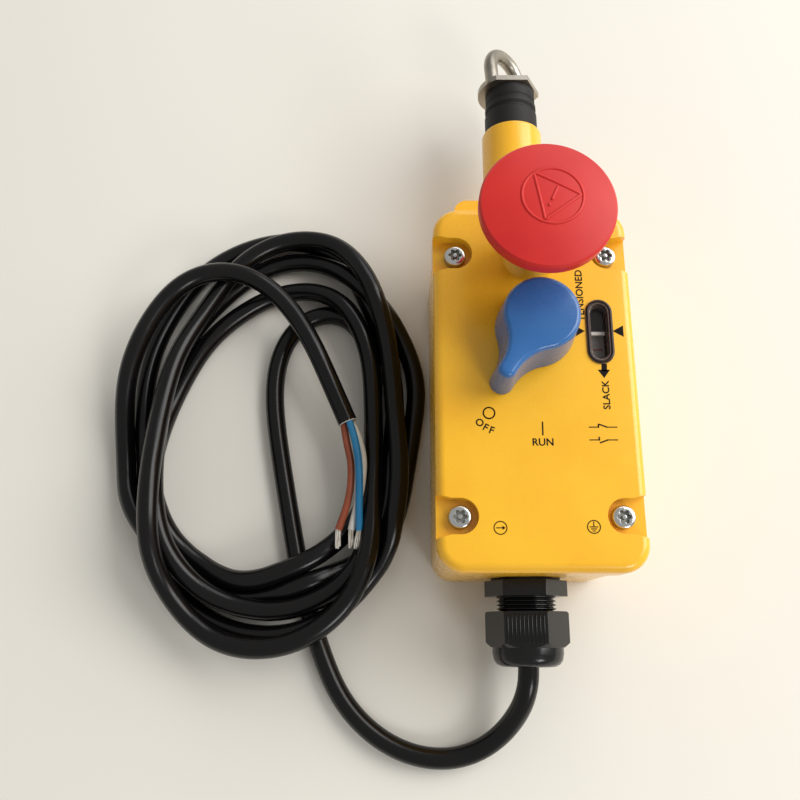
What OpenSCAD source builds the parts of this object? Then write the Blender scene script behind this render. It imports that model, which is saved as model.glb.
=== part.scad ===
// Rope pull switch with emergency stop button, reset knob, rope tension window and a moulded-on lead.
// Frame: the back mounting face is z = 0, +Y runs towards the rope eye, +Z out of the lid. Millimetres.

/* [Enclosure] */
// Width of the lid across its side walls
lid_w = 63.4; // [60:0.2:70]
// Length of the lid along the rope axis
lid_l = 118.2; // [114:0.2:130]
// Corner radius of the lid seen from above
lid_corner = 8.5; // [6:0.5:11]
// Rounding of the lid's upper edge
lid_edge = 3; // [2:0.5:4]
// Depth of the lid from its top face to its parting face
lid_h = 12.4; // [11:0.2:15]
// Height of the housing from the back face to its rim
body_h = 45.3; // [42:0.1:50]
// How far the housing wall stands in from the lid wall
body_inset = 0.8; // [0.4:0.2:1.2]
// Wall thickness of the housing and the lid
wall = 4; // [3:0.5:5]
// Thickness of the housing floor
floor_t = 5; // [4:0.5:7]
// Gap at the parting line that the gasket fills
gasket_t = 0.8; // [0.6:0.1:1.2]

/* [Lid screws] */
// Screw spacing across the lid
screw_dx = 49; // [47:0.2:51]
// Screw spacing along the lid
screw_dy = 85.2; // [80:0.2:88]
// Nominal screw thread diameter
screw_d = 4; // [4:1:5]
// Screw head diameter
head_d = 7; // [6.5:0.5:8]
// Screw head height
head_h = 3.2; // [3:0.2:4]
// Radius of the round end of each screw pocket
pocket_r = 5.4; // [4.8:0.2:6]
// Half width of each pocket where it opens through the lid's side
pocket_mouth = 6.8; // [6:0.2:8]
// Depth of the pocket floor below the lid's top face
pocket_depth = 4.8; // [4:0.2:6]

/* [Back mounting] */
// Spacing of the tapped mounting holes across the back
mount_dx = 40; // [36:1:44]
// Spacing of the tapped mounting holes along the back
mount_dy = 80; // [70:1:84]
// Tapped mounting hole diameter
mount_d = 5; // [4:1:6]
// Depth of the tapped mounting holes
mount_depth = 8; // [6:1:10]

/* [Rope end] */
// Height of the rope axis above the back face
rope_z = 28.9; // [28:0.1:31]
// Outer diameter of the barrel
barrel_d = 22.2; // [21:0.2:24]
// Place of the barrel's outer end along Y
barrel_end = 105.5; // [100:0.5:108]
// Diameter of the pull rod
rod_d = 9; // [8:0.5:10]
// Diameter of the rubber gaiter
gaiter_d = 19.6; // [18:0.2:21]
// Free length of the gaiter
gaiter_l = 17.7; // [14:0.1:20]
// Thickness of the eye's flange
flange_t = 2; // [1.5:0.5:3]
// Distance across the corners of the eye's flange
flange_d = 23.4; // [22:1:26]
// Diameter of the round bar of the eye
eye_bar = 5.1; // [4.5:0.1:6]
// Distance between the two legs of the eye, middle to middle
eye_gap = 18.2; // [14:0.2:20]
// Length of the eye's straight legs beyond its flange
eye_leg = 6; // [4:0.5:12]
// Turn of the eye about the rope axis
eye_turn = 46; // [0:2:90]
// Travel of the pull rod from the mid mark, each way
rope_travel = 5; // [3:0.5:6]

/* [Emergency stop button] */
// Place of the button along Y
stop_y = 42.6; // [40:0.2:44]
// Diameter of the mushroom head
stop_d = 40; // [38:1:42]
// Height of the head's upper rim above the back face
stop_top = 90.5; // [88:0.5:96]
// Thickness of the head at its rim
stop_rim = 4.5; // [3.5:0.5:6]
// Rise of the domed face above its rim
stop_dome = 1.8; // [1:0.2:3]
// Diameter of the button stem
stem_d = 9; // [8:0.5:10]
// Travel of the button
stop_travel = 4; // [3:0.5:4.5]
// Radius of the round boss on the lid around the button
boss_r = 8.5; // [8.5:0.5:12]
// Height of that boss above the lid
boss_h = 3; // [2:0.2:5]

/* [Reset knob] */
// Place of the knob along Y
knob_y = 16.2; // [14:0.2:17]
// Height of the knob above the lid
knob_h = 15; // [10:0.2:16]
// Radius of the knob's round head at its base
knob_r = 12.6; // [11.5:0.2:13]
// Distance from the knob's axis to the end of its pointer at the base
knob_reach = 24.6; // [22:0.2:26]
// Radius of the pointer's round end at the base
pointer_r = 3.8; // [3:0.2:5]
// Amount by which the knob draws in from base to top
knob_draft = 0.9; // [0.6:0.1:1.6]
// Radius of the hollow flanks between head and pointer
knob_flank = 14; // [9:0.5:24]
// Direction of the pointer in the off position, from straight down
knob_off = 32; // [30:1:45]
// Diameter of the knob's spindle
spindle_d = 7; // [6:0.5:8]

/* [Tension window] */
// Middle of the window across the lid
win_x = 20.5; // [19:0.5:21]
// Middle of the window along the lid
win_y = 15.5; // [14:0.2:16]
// Width of the window frame
win_w = 8.4; // [7.6:0.2:9]
// Length of the window frame
win_l = 21.4; // [20:0.5:24]
// Place of the centre mark along Y
mark_y = 16; // [15:0.1:16]

/* [Cable gland] */
// Height of the gland axis above the back face
gland_z = 18.6; // [17:0.2:20]
// Distance across the flats of the gland's hexagons
gland_af = 24; // [22:1:26]
// Diameter of the gland's thread
gland_d = 20; // [16:1:20]
// Height of the gland body's hexagon
gland_hex = 5.2; // [4:0.2:7]
// Length of thread seen between body and nut
gland_neck = 4.8; // [3:0.5:7]
// Height of the dome nut's hexagon
nut_hex = 11.4; // [9:0.2:13]
// Length of the dome nut's round collar
nut_collar = 6; // [4:0.5:8]
// Turn of the gland's hexagons
gland_turn = 10; // [0:1:30]

/* [Lead] */
// Diameter of the lead
cable_d = 7; // [6.5:0.1:7.5]
// Diameter of one core
core_d = 2.3; // [1.8:0.1:2.6]

/* [Hidden] */
$fn = 48;
eps = 0.01;
fit = 0.05;
gap = 0.3;
seat = 0.02;

parting_z = body_h + gasket_t;
lid_top = parting_z + lid_h;
lid_under = lid_top - wall;
body_w = lid_w - 2 * body_inset;
body_l = lid_l - 2 * body_inset;
body_corner = lid_corner - body_inset;
in_w = body_w - 2 * wall;
in_l = body_l - 2 * wall;
in_corner = body_corner - wall + 1.5;
boss_post_r = 5.2;
mount_post_d = mount_d + 7;
pocket_z = lid_top - pocket_depth;
shank_end = body_h - 14;
groove_depth = 1.2;

// Rope end, measured along Y.
shoulder_w = 47;
shoulder_end = body_l / 2 + 11.5;
shoulder_low = 12;
shoulder_high = 44;
spigot_d = barrel_d - 4;
spigot_start = body_l / 2 - wall;
barrel_bore = 17;
nose_d = 16.4;
nose_l = 5;
end_wall = 5;
bush_d = 13;
rod_start = 46;
cup_t = 3;
cup_y = shoulder_end + 5;
spring_wire = 1.8;
spring_mean = 13.4;
spring_turns = 6;
flange_y = barrel_end + gaiter_l;
eye_arc_r = eye_gap / 2;
eye_lean = 4;
eye_off = -1;
flange_off = -0.5;

// Mechanism inside the housing.
carrier_w = 10;
carrier_h = 6;
carrier_start = mark_y - 13;
carrier_low = rope_z - carrier_h / 2;
carrier_grip = rod_d + 5;
slider_w = 4.6;
slider_l = 9;
slider_top = lid_top - 2.4 - gap;
arm_top = slider_top - 1.6;
line_l = 0.9;
yoke_t = 3;
yoke_w = 33;
yoke_l = 8;
yoke_hole = 3;
stem_low = rope_z + carrier_grip / 2 + stop_travel + yoke_t + 0.6;
block_x = 13;
block_w = 11;
block_gap = 0.8;
block_l = min(20, 2 * (in_l / 2 - stop_y - block_gap));
block_foot = 4;
well_floor = 6;
fixing_d = 3;
fixing_y = 6.5;
block_top = stem_low - yoke_t - stop_travel - 4;
plunger_d = 4;
plunger_low = mount_depth + block_foot + well_floor + 4;
cam_t = 3;
cam_w = 4;
cam_reach = 10;
cam_z = lid_under - 8;
term_w = 37;
term_l = 12;
term_h = 14;
term_n = 6;
term_pitch = 6;
earth_x = (mount_dx - mount_post_d - head_d) / 2 - block_gap;
earth_y = -in_l / 2 + 4.8;
term_y = earth_y + 9.5;
term_screw_d = 3.6;
term_screw_l = 4;
term_sink = 5;
slot_cut = 0.8;

// Knob.
head_steps = 40;
knob_crown = 0.3;

// Button.
stop_low = stop_top - stop_rim;
boss_top = lid_top + boss_h;
skirt_d = 20;
skirt_low = boss_top + stop_travel + 1.2;
spring_room = 15;
seal_d = stem_d + 5;
spring_top = skirt_low + 12;

// Window.
frame_sink = 1.6;
frame_proud = 0.5;
lens_seat = 0.7;
roof_z = lid_top - frame_sink - 0.8;
lens_w = win_w - 3;
lens_l = win_l - 3;
slot_w = slider_w + 1;

// Gland, measured along -Y from the housing's end wall.
end_y = -body_l / 2;
gland_r = gland_af / sqrt(3);
washer_t = 0.8;
neck_y = end_y - washer_t - gland_hex;
nut_y = neck_y - gland_neck;
collar_y = nut_y - nut_hex;
exit_y = collar_y - nut_collar;
gland_bore = cable_d + 3;
nut_bore = 14;

// The lead's free stretches, as points on their middle lines. The resting surface is z = 0.
lead_route = [
    [0, -62, 18.6], [0, -76, 18.6], [0, -87, 18.6], [-0.3, -91.5, 18], [-1.4, -96.8, 15.8], [-3.6, -102, 12.2],
    [-7.2, -107.2, 8.4], [-11.6, -111.2, 5.6], [-16.8, -114.4, 4], [-24, -116.4, 3.5], [-33, -116.2, 3.5],
    [-43.6, -113.2, 3.5], [-54, -106.4, 3.5], [-62.8, -96.6, 3.5], [-68.4, -84.6, 3.5], [-73, -72, 3.5],
    [-77.2, -58, 3.5], [-80.6, -42, 3.5], [-85, -20, 3.5], [-88.4, 0, 3.5], [-89.4, 14, 3.5], [-87.4, 27, 3.5],
    [-81.4, 37.5, 3.5], [-72.6, 42.8, 3.5], [-62, 41.2, 3.5], [-55.4, 32, 3.5], [-52.6, 17, 3.5], [-52.4, 0, 3.5]
];
tail_route = [
    [-140, -14, 17.5], [-140.8, 0, 17.5], [-140.6, 14, 17.5], [-137.4, 27.6, 17.5], [-131.6, 39, 17.5],
    [-123.4, 49.6, 17.5], [-113.6, 54.2, 17.5], [-102.8, 54, 17.5], [-91.6, 48.4, 17.4], [-82, 38.4, 17],
    [-74.4, 26.4, 16.4], [-68.6, 14, 15.6], [-63.8, 3.4, 14.8], [-61, -3, 14.4]
];
brown_route = [
    [-62.6, -2.8, 14], [-61.4, -9.8, 14.2], [-59.8, -17.4, 14.6], [-59.6, -25.2, 15], [-60.8, -33, 15.4], [-63.6, -41.6, 15.4]
];
blue_route = [
    [-60.6, -2.2, 16.2], [-58.2, -10.2, 17.2], [-56.8, -18.4, 17.4], [-56.4, -26.4, 17.8], [-56.4, -34.2, 17.8], [-56.2, -42, 17]
];
grey_route = [
    [-60, -2, 13.6], [-56.6, -8.4, 15.2], [-54.4, -16.4, 15.4], [-54.8, -25.2, 15.4], [-57, -34, 15.4], [-59.6, -41.4, 15.4]
];
strip_l = 6.5;

// Coil: the oval's middle, the reach of its outermost and innermost turns, and its height.
coil_mid = [-90, -4];
coil_out = [56, 79];
hole_mid = [-92, -4.5];
coil_in = [37.5, 50];
coil_lean = -5;
coil_top = 2 * cable_d;

// ---------------------------------------------------------------- shared shapes

module rounded_rect(w, l, r) {
    for (x = [-1, 1], y = [-1, 1])
        translate([x * (w / 2 - r), y * (l / 2 - r)])
            circle(r = r);
    square([w - 2 * r, l], center = true);
    square([w, l - 2 * r], center = true);
}

module rounded_slab(w, l, r, z0, z1) {
    translate([0, 0, z0])
        linear_extrude(z1 - z0)
            rounded_rect(w, l, r);
}

// A solid of revolution about +Y; the profile holds [radius, y] points.
module turned_y(profile, x = 0, z = 0) {
    translate([x, 0, z])
        rotate([-90, 0, 0])
            rotate_extrude()
                polygon(profile);
}

module rod_y(d, y0, y1, x = 0, z = 0) {
    translate([x, y0, z])
        rotate([-90, 0, 0])
            cylinder(d = d, h = y1 - y0);
}

module post(d, z0, z1, x = 0, y = 0) {
    translate([x, y, z0])
        cylinder(d = d, h = z1 - z0);
}

module at_screws() {
    for (x = [-1, 1], y = [-1, 1])
        translate([x * screw_dx / 2, y * screw_dy / 2, 0])
            children();
}

module at_mounts() {
    for (x = [-1, 1], y = [-1, 1])
        translate([x * mount_dx / 2, y * mount_dy / 2, 0])
            children();
}

module stadium(w, l) {
    for (y = [-1, 1])
        translate([0, y * (l - w) / 2])
            circle(d = w);
    square([w, l - w], center = true);
}

// ---------------------------------------------------------------- sweeps along a route

function unit(v) = v / norm(v);
function heading(p, i) = unit(p[min(i + 1, len(p) - 1)] - p[max(i - 1, 0)]);
function side(h) = unit(cross(h, abs(h[2]) > 0.9 ? [1, 0, 0] : [0, 0, 1]));
function ring(p, i, r, sides) =
    let (h = heading(p, i), u = side(h), v = cross(u, h))
    [for (k = [0 : sides - 1]) let (a = 360 * (k + 0.5) / sides) p[i] + r * (cos(a) * u + sin(a) * v)];

module tube(path, d, sides = 8) {
    n = len(path);
    grow = 1 / cos(180 / sides);
    points = [for (i = [0 : n - 1]) each ring(path, i, d / 2 * grow, sides)];
    skin = [for (i = [0 : n - 2], k = [0 : sides - 1])
        let (a = i * sides + k, b = i * sides + (k + 1) % sides)
        each [[b, b + sides, a], [b + sides, a + sides, a]]];
    caps = [[for (k = [sides - 1 : -1 : 0]) k], [for (k = [0 : sides - 1]) (n - 1) * sides + k]];
    polyhedron(points, concat(skin, caps));
}

// A helix about +Y for a spring, closed at both ends by flat turns.
function helix_y(mean, y0, y1, turns, steps) =
    [for (k = [0 : steps]) let (a = 360 * turns * k / steps)
        [mean / 2 * cos(a), y0 + (y1 - y0) * k / steps, mean / 2 * sin(a)]];

// ---------------------------------------------------------------- enclosure

module housing_outside() {
    rounded_slab(body_w, body_l, body_corner, 0, body_h);
    translate([0, (shoulder_end + spigot_start) / 2, 0])
        rounded_slab(shoulder_w, shoulder_end - spigot_start, 4.5, shoulder_low, shoulder_high);
}

module housing() {
    color([0.98, 0.74, 0.2])
    difference() {
        union() {
            difference() {
                housing_outside();
                rounded_slab(in_w, in_l, in_corner, floor_t, body_h + 1);
            }
            intersection() {
                housing_outside();
                union() {
                    at_screws()
                        post(2 * boss_post_r, 1, body_h);
                    at_mounts()
                        post(mount_post_d, 1, mount_depth + 4);
                }
            }
        }
        translate([0, 0, body_h - groove_depth])
            linear_extrude(groove_depth + 1)
                gasket_shape();
        at_screws()
            post(screw_d + 2 * fit, shank_end - 2, body_h + 1);
        at_mounts()
            post(mount_d, -1, mount_depth);
        rod_y(spigot_d + 2 * fit, spigot_start - 1, shoulder_end + 1, 0, rope_z);
        rod_y(gland_d + 2 * fit, end_y - 1, end_y + wall + 1, 0, gland_z);
        post(screw_d + 2 * fit, 1.5, floor_t + 1, earth_x, earth_y);
    }
}

module lid_outside() {
    hull()
        for (x = [-1, 1], y = [-1, 1])
            translate([x * (lid_w / 2 - lid_corner), y * (lid_l / 2 - lid_corner), parting_z])
                rotate_extrude()
                    lid_post_profile();
}

module lid_post_profile() {
    square([lid_corner, lid_h - lid_edge]);
    square([lid_corner - lid_edge, lid_h]);
    intersection() {
        translate([lid_corner - lid_edge, lid_h - lid_edge])
            circle(r = lid_edge, $fn = 32);
        square([lid_corner, lid_h]);
    }
}

module pocket_shape() {
    circle(r = pocket_r);
    reach = (lid_w - screw_dx) / 2 + 1;
    polygon([
        [0, -pocket_r], [pocket_r * 0.5, -pocket_r], [reach, -pocket_mouth],
        [reach, pocket_mouth], [pocket_r * 0.5, pocket_r], [0, pocket_r]
    ]);
}

module screw_pockets() {
    for (x = [-1, 1], y = [-1, 1])
        translate([x * screw_dx / 2, y * screw_dy / 2, pocket_z])
            rotate([0, 0, x > 0 ? 0 : 180])
                linear_extrude(pocket_depth + 1)
                    pocket_shape();
}

module lid() {
    color([1.0, 0.78, 0.23])
    difference() {
        union() {
            difference() {
                lid_outside();
                translate([0, 0, parting_z - 1])
                    linear_extrude(lid_under - parting_z + 1)
                        rounded_rect(lid_w - 2 * wall, lid_l - 2 * wall, in_corner);
            }
            intersection() {
                lid_outside();
                at_screws()
                    post(2 * pocket_r + 5, parting_z, pocket_z + 1);
            }
            translate([0, stop_y, lid_top - 1])
                rotate_extrude()
                    polygon([[0, 0], [boss_r + 1.6, 0], [boss_r + 1.2, 1.4], [boss_r, boss_h + 0.2],
                        [boss_r - 0.8, boss_h + 1], [0, boss_h + 1]]);
            translate([0, stop_y, 0])
                post(skirt_d - 2, lid_under - 4, lid_top);
            translate([0, knob_y, 0])
                post(spindle_d + 8, lid_under - 4, lid_top);
        }
        screw_pockets();
        at_screws()
            post(screw_d + 0.5, parting_z - 1, lid_top);
        translate([0, stop_y, 0]) {
            post(stem_d + 2 * fit, lid_under - 5, boss_top + 1);
            post(seal_d + 2 * fit, boss_top - 2.2, boss_top + 2);
        }
        translate([0, knob_y, 0]) {
            post(spindle_d + 2 * fit, lid_under - 5, lid_top + 1);
            post(spindle_d + 4 + 2 * fit, lid_top - 1.6, lid_top + 1);
        }
        translate([win_x, win_y, lid_top - frame_sink])
            linear_extrude(frame_sink + 1)
                stadium(win_w + 2 * seat, win_l + 2 * seat);
        translate([win_x, win_y, lid_under - 1])
            linear_extrude(wall + 2)
                stadium(slot_w, lens_l - 1);
        translate([win_x, mark_y, (lid_under - 1 + roof_z) / 2])
            cube([slider_w + 1.4, 2 * (slider_l + rope_travel) + 1.4, roof_z - lid_under + 1], center = true);
    }
}

module gasket_shape() {
    difference() {
        rounded_rect(body_w - 1.2, body_l - 1.2, body_corner - 0.6);
        rounded_rect(body_w - 4.4, body_l - 4.4, body_corner - 2.2);
    }
}

module lid_gasket() {
    color([0.07, 0.07, 0.07])
    translate([0, 0, body_h - groove_depth])
        linear_extrude(groove_depth + gasket_t)
            gasket_shape();
}

module torx_star(r) {
    circle(r = r * 0.72, $fn = 24);
    for (k = [0 : 5])
        rotate([0, 0, 60 * k])
            translate([r * 0.72, 0])
                circle(r = r * 0.28, $fn = 16);
}

module lid_screw() {
    difference() {
        union() {
            post(screw_d, shank_end, pocket_z + 0.5);
            translate([0, 0, pocket_z])
                rotate_extrude()
                    polygon([[0, 0], [head_d / 2, 0], [head_d / 2, head_h - 0.7], [head_d / 2 - 0.2, head_h - 0.3],
                        [head_d / 2 - 0.7, head_h], [0, head_h]]);
        }
        translate([0, 0, pocket_z + head_h - 1.8])
            linear_extrude(3)
                difference() {
                    torx_star(2.2);
                    circle(d = 1.3, $fn = 16);
                }
    }
}

module lid_screws() {
    color([0.78, 0.78, 0.8])
    at_screws()
        lid_screw();
}

// ---------------------------------------------------------------- rope end

module rope_barrel() {
    r = barrel_d / 2;
    color([0.98, 0.74, 0.2])
    difference() {
        turned_y([
            [0, spigot_start + seat], [spigot_d / 2, spigot_start + seat], [spigot_d / 2, shoulder_end + seat],
            [r, shoulder_end + seat], [r, barrel_end - 1.2], [r - 0.35, barrel_end - 0.35],
            [r - 1.2, barrel_end], [nose_d / 2, barrel_end], [nose_d / 2, barrel_end + nose_l],
            [0, barrel_end + nose_l]
        ], 0, rope_z);
        rod_y(barrel_bore, spigot_start - 1, barrel_end - end_wall, 0, rope_z);
        rod_y(bush_d + 2 * seat, barrel_end - end_wall - 1, barrel_end + nose_l + 1, 0, rope_z);
    }
}

module barrel_bush() {
    color([0.72, 0.55, 0.25])
    difference() {
        rod_y(bush_d, barrel_end - end_wall, barrel_end + nose_l - 0.5, 0, rope_z);
        rod_y(rod_d + 2 * fit, barrel_end - end_wall - 1, barrel_end + nose_l + 1, 0, rope_z);
    }
}

module rope_gaiter() {
    r = gaiter_d / 2;
    y0 = barrel_end + seat;
    y1 = flange_y - seat;
    color([0.13, 0.12, 0.12])
    difference() {
        turned_y([
            [0, y0], [r, y0], [r, y0 + 7.4], [r - 0.9, y0 + 8.4], [r - 0.9, y0 + 9], [r - 0.2, y0 + 10],
            [r - 0.2, y0 + 11.4], [r - 1, y0 + 12.2], [r - 1, y0 + 12.8], [r - 0.5, y0 + 13.6],
            [r - 0.5, y1], [0, y1]
        ], 0, rope_z);
        rod_y(nose_d + 0.6, y0 - 1, y0 + nose_l + 1, 0, rope_z);
        rod_y(rod_d + 4, y0, y1 - 1.4, 0, rope_z);
        rod_y(rod_d + 0.4, y0, y1 + 1, 0, rope_z);
    }
}

module pull_rod() {
    color([0.75, 0.75, 0.76])
    difference() {
        rod_y(rod_d, rod_start, flange_y, 0, rope_z);
        rod_y(5 + 2 * seat, flange_y - 10, flange_y + 1, 0, rope_z);
    }
}

// A hexagon whose left half is rounded through its corners.
module eye_flange_shape() {
    r = flange_d / 2;
    polygon([
        r * [cos(60), -sin(60)], [r, 0], r * [cos(60), sin(60)],
        for (k = [0 : 12]) r * [cos(120 + 10 * k), sin(120 + 10 * k)]
    ]);
}

module rope_eye() {
    color([0.72, 0.72, 0.7])
    translate([0, 0, rope_z]) {
        translate([flange_off, flange_y + flange_t, 0])
            rotate([90, 0, 0])
                linear_extrude(flange_t)
                    eye_flange_shape();
        rod_y(5, flange_y - 9.5, flange_y + 0.5);
        translate([eye_off, flange_y + flange_t, 0])
            rotate([0, 0, eye_lean])
                rotate([0, eye_turn, 0]) {
                    for (x = [-1, 1])
                        rod_y(eye_bar, -1, eye_leg, x * eye_arc_r);
                    translate([0, eye_leg, 0])
                        rotate_extrude(angle = 180)
                            translate([eye_arc_r, 0])
                                circle(d = eye_bar);
                }
    }
}

module spring_cup() {
    color([0.6, 0.6, 0.62])
    difference() {
        rod_y(barrel_bore - 2 * gap, cup_y, cup_y + cup_t, 0, rope_z);
        rod_y(rod_d + 2 * seat, cup_y - 1, cup_y + cup_t + 1, 0, rope_z);
    }
}

module tension_spring() {
    y0 = cup_y + cup_t + spring_wire / 2 + 0.1;
    y1 = barrel_end - end_wall - spring_wire / 2 - 0.1;
    color([0.55, 0.55, 0.57])
    translate([0, 0, rope_z])
        tube(helix_y(spring_mean, y0, y1, spring_turns, spring_turns * 16), spring_wire);
}

module tension_carrier() {
    color([0.45, 0.45, 0.46])
    difference() {
        union() {
            translate([-carrier_w / 2, carrier_start, carrier_low])
                cube([carrier_w, rod_start + 6 - carrier_start, carrier_h]);
            rod_y(carrier_grip, rod_start - 1, rod_start + 6, 0, rope_z);
            translate([0, mark_y - slider_l, carrier_low])
                cube([win_x + slider_w / 2, 2 * slider_l, 3]);
            translate([win_x - slider_w / 2, mark_y - slider_l, carrier_low])
                cube([slider_w, 2 * slider_l, arm_top - carrier_low]);
        }
        rod_y(rod_d + 2 * seat, rod_start, rod_start + 7, 0, rope_z);
    }
}

module tension_slider() {
    color([0.05, 0.05, 0.05])
    translate([win_x - slider_w / 2, mark_y + line_l / 2, arm_top])
        cube([slider_w, slider_l - line_l / 2, slider_top - arm_top]);
}

module tension_line() {
    color([0.95, 0.95, 0.95])
    translate([win_x - slider_w / 2, mark_y - line_l / 2, arm_top])
        cube([slider_w, line_l, slider_top - arm_top]);
}

module window_frame() {
    color([0.1, 0.08, 0.07])
    translate([win_x, win_y, lid_top - frame_sink])
        difference() {
            linear_extrude(frame_sink + frame_proud)
                stadium(win_w, win_l);
            translate([0, 0, -1])
                linear_extrude(5)
                    stadium(slot_w, lens_l - 1);
            translate([0, 0, lens_seat])
                linear_extrude(5)
                    stadium(lens_w + 2 * seat, lens_l + 2 * seat);
        }
}

module window_lens() {
    color([0.8, 0.82, 0.84, 0.35])
    translate([win_x, win_y, lid_top - frame_sink + lens_seat + seat])
        linear_extrude(1.2)
            stadium(lens_w, lens_l);
}

// ---------------------------------------------------------------- emergency stop button

function arc_points(r, rise, n) =
    let (sphere_r = (r * r + rise * rise) / (2 * rise))
    [for (k = [0 : n]) let (x = r * (1 - k / n)) [x, sqrt(sphere_r * sphere_r - x * x) - sphere_r + rise]];

module button_head() {
    r = stop_d / 2;
    color([0.86, 0.2, 0.17])
    translate([0, stop_y, 0])
        difference() {
            rotate_extrude($fn = 96)
                polygon(concat(
                    [[0, skirt_low], [skirt_d / 2 - 1, skirt_low], [skirt_d / 2, stop_low - 3],
                        [r - 4, stop_low], [r - 0.6, stop_low], [r, stop_low + 0.6], [r, stop_top - 0.8]],
                    [for (p = arc_points(r - 0.6, stop_dome, 8)) [p[0], stop_top + p[1]]]
                ));
            post(spring_room, skirt_low - 1, spring_top);
            post(stem_d - 2 + 2 * seat, skirt_low, stop_low);
        }
}

module button_stem() {
    color([0.7, 0.7, 0.72])
    translate([0, stop_y, 0]) {
        post(stem_d, stem_low, spring_top - seat);
        post(stem_d - 2, stem_low, stop_low - 1);
    }
}

module button_seal() {
    color([0.07, 0.07, 0.07])
    translate([0, stop_y, boss_top - 2.2 + seat])
        difference() {
            cylinder(d = seal_d, h = 2.2 + 0.6);
            translate([0, 0, -1])
                cylinder(d = stem_d + 2 * fit, h = 5);
        }
}

module button_yoke() {
    color([0.85, 0.83, 0.76])
    translate([0, stop_y, 0])
        difference() {
            translate([-yoke_w / 2, -yoke_l / 2, stem_low - yoke_t])
                cube([yoke_w, yoke_l, yoke_t - seat]);
            translate([0, 0, stem_low - yoke_t - 1])
                cylinder(d = yoke_hole, h = yoke_t + 2);
        }
}

module button_spring() {
    wire = 1.2;
    color([0.6, 0.6, 0.62])
    translate([0, stop_y, 0])
        rotate([90, 0, 0])
            tube(helix_y(stem_d + 3.4, boss_top + 1.4, spring_top - 0.8, 5, 80), wire);
}

// ---------------------------------------------------------------- reset knob

function arc(middle, r, from, to, n) =
    [for (k = [0 : n]) middle + r * [cos(from + (to - from) * k / n), sin(from + (to - from) * k / n)]];

// Teardrop seen from above, drawn in by inset: two round ends joined by hollow flanks.
function knob_outline(inset) =
    let (
        reach = knob_reach - pointer_r,
        big = knob_r + knob_flank,
        small = pointer_r + knob_flank,
        x = (reach * reach + big * big - small * small) / (2 * reach),
        y = sqrt(big * big - x * x),
        head = atan2(y, x),
        tip = atan2(y, x - reach)
    )
    concat(
        arc([0, 0], knob_r - inset, head, 360 - head, head_steps),
        arc([x, -y], knob_flank + inset, 180 - head, 180 - tip, 8),
        arc([reach, 0], pointer_r - inset, -tip, tip, 14),
        arc([x, y], knob_flank + inset, 180 + tip, 180 + head, 8)
    );

// Triangles from an outline's rim to a ridge along its axis; the outline starts its two sides at point back.
function cap_faces(base, ridge, n, back) =
    let (
        half = n / 2,
        rim = function (j) base + (back + j) % n,
        far = function (j) base + (back - j + n) % n,
        mid = function (j) j == 0 || j == half ? rim(j) : ridge + j - 1
    )
    [for (j = [0 : half - 1]) each [
        if (j < half - 1) [rim(j), rim(j + 1), mid(j + 1)],
        if (j > 0) [rim(j), mid(j + 1), mid(j)],
        if (j > 0) [far(j + 1), far(j), mid(j)],
        if (j < half - 1) [far(j + 1), mid(j), mid(j + 1)]
    ]];

// One closed solid through outlines of equal count, crowned along its axis; each level holds [height, inset].
module knob_loft(levels, crown) {
    n = len(knob_outline(0));
    m = len(levels);
    back = head_steps / 2;
    rims = [for (level = levels) each [for (p = knob_outline(level[1])) [p[0], p[1], level[0]]]];
    ridges = [for (level = [levels[0], levels[m - 1]]) each [
        for (k = [back + 1 : back + n / 2 - 1]) let (p = knob_outline(level[1])[k])
            [p[0], 0, level[0] + crown * abs(p[1]) / knob_r]
    ]];
    skin = [for (i = [0 : m - 2], k = [0 : n - 1])
        let (a = i * n + k, b = i * n + (k + 1) % n)
        each [[a, a + n, b], [b, a + n, b + n]]];
    below = cap_faces(0, m * n, n, back);
    above = [for (f = cap_faces((m - 1) * n, m * n + n / 2 - 1, n, back)) [f[2], f[1], f[0]]];
    polyhedron(concat(rims, ridges), concat(skin, below, above));
}

module reset_knob() {
    color([0.16, 0.4, 0.68])
    translate([0, knob_y, lid_top + gap])
        difference() {
            rotate([0, 0, -90 - knob_off])
                knob_loft([
                    [0, 0], [knob_h - 1.8, knob_draft], [knob_h - 0.8, knob_draft + 0.3],
                    [knob_h - 0.2, knob_draft + 0.9], [knob_h, knob_draft + 1.6]
                ], knob_crown);
            translate([0, 0, -1])
                cylinder(d = spindle_d - 2 + 2 * seat, h = knob_h - 2);
        }
}

module reset_spindle() {
    color([0.7, 0.7, 0.72])
    translate([0, knob_y, 0]) {
        post(spindle_d, cam_z - 4, lid_top + gap - seat);
        post(spindle_d - 2, cam_z - 4, lid_top + knob_h - 3);
    }
}

module reset_seal() {
    color([0.07, 0.07, 0.07])
    translate([0, knob_y, lid_top - 1.6 + seat])
        difference() {
            cylinder(d = spindle_d + 4, h = 1.5);
            translate([0, 0, -1])
                cylinder(d = spindle_d + 2 * fit, h = 4);
        }
}

module reset_cam() {
    color([0.85, 0.83, 0.76])
    translate([0, knob_y, cam_z])
        difference() {
            linear_extrude(cam_t)
                union() {
                    circle(d = spindle_d + 5);
                    rotate([0, 0, 90 - knob_off])
                        translate([0, -cam_w / 2])
                            square([cam_reach, cam_w]);
                }
            translate([0, 0, -1])
                cylinder(d = spindle_d + 2 * seat, h = cam_t + 2);
        }
}

// ---------------------------------------------------------------- contacts and terminals

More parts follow.
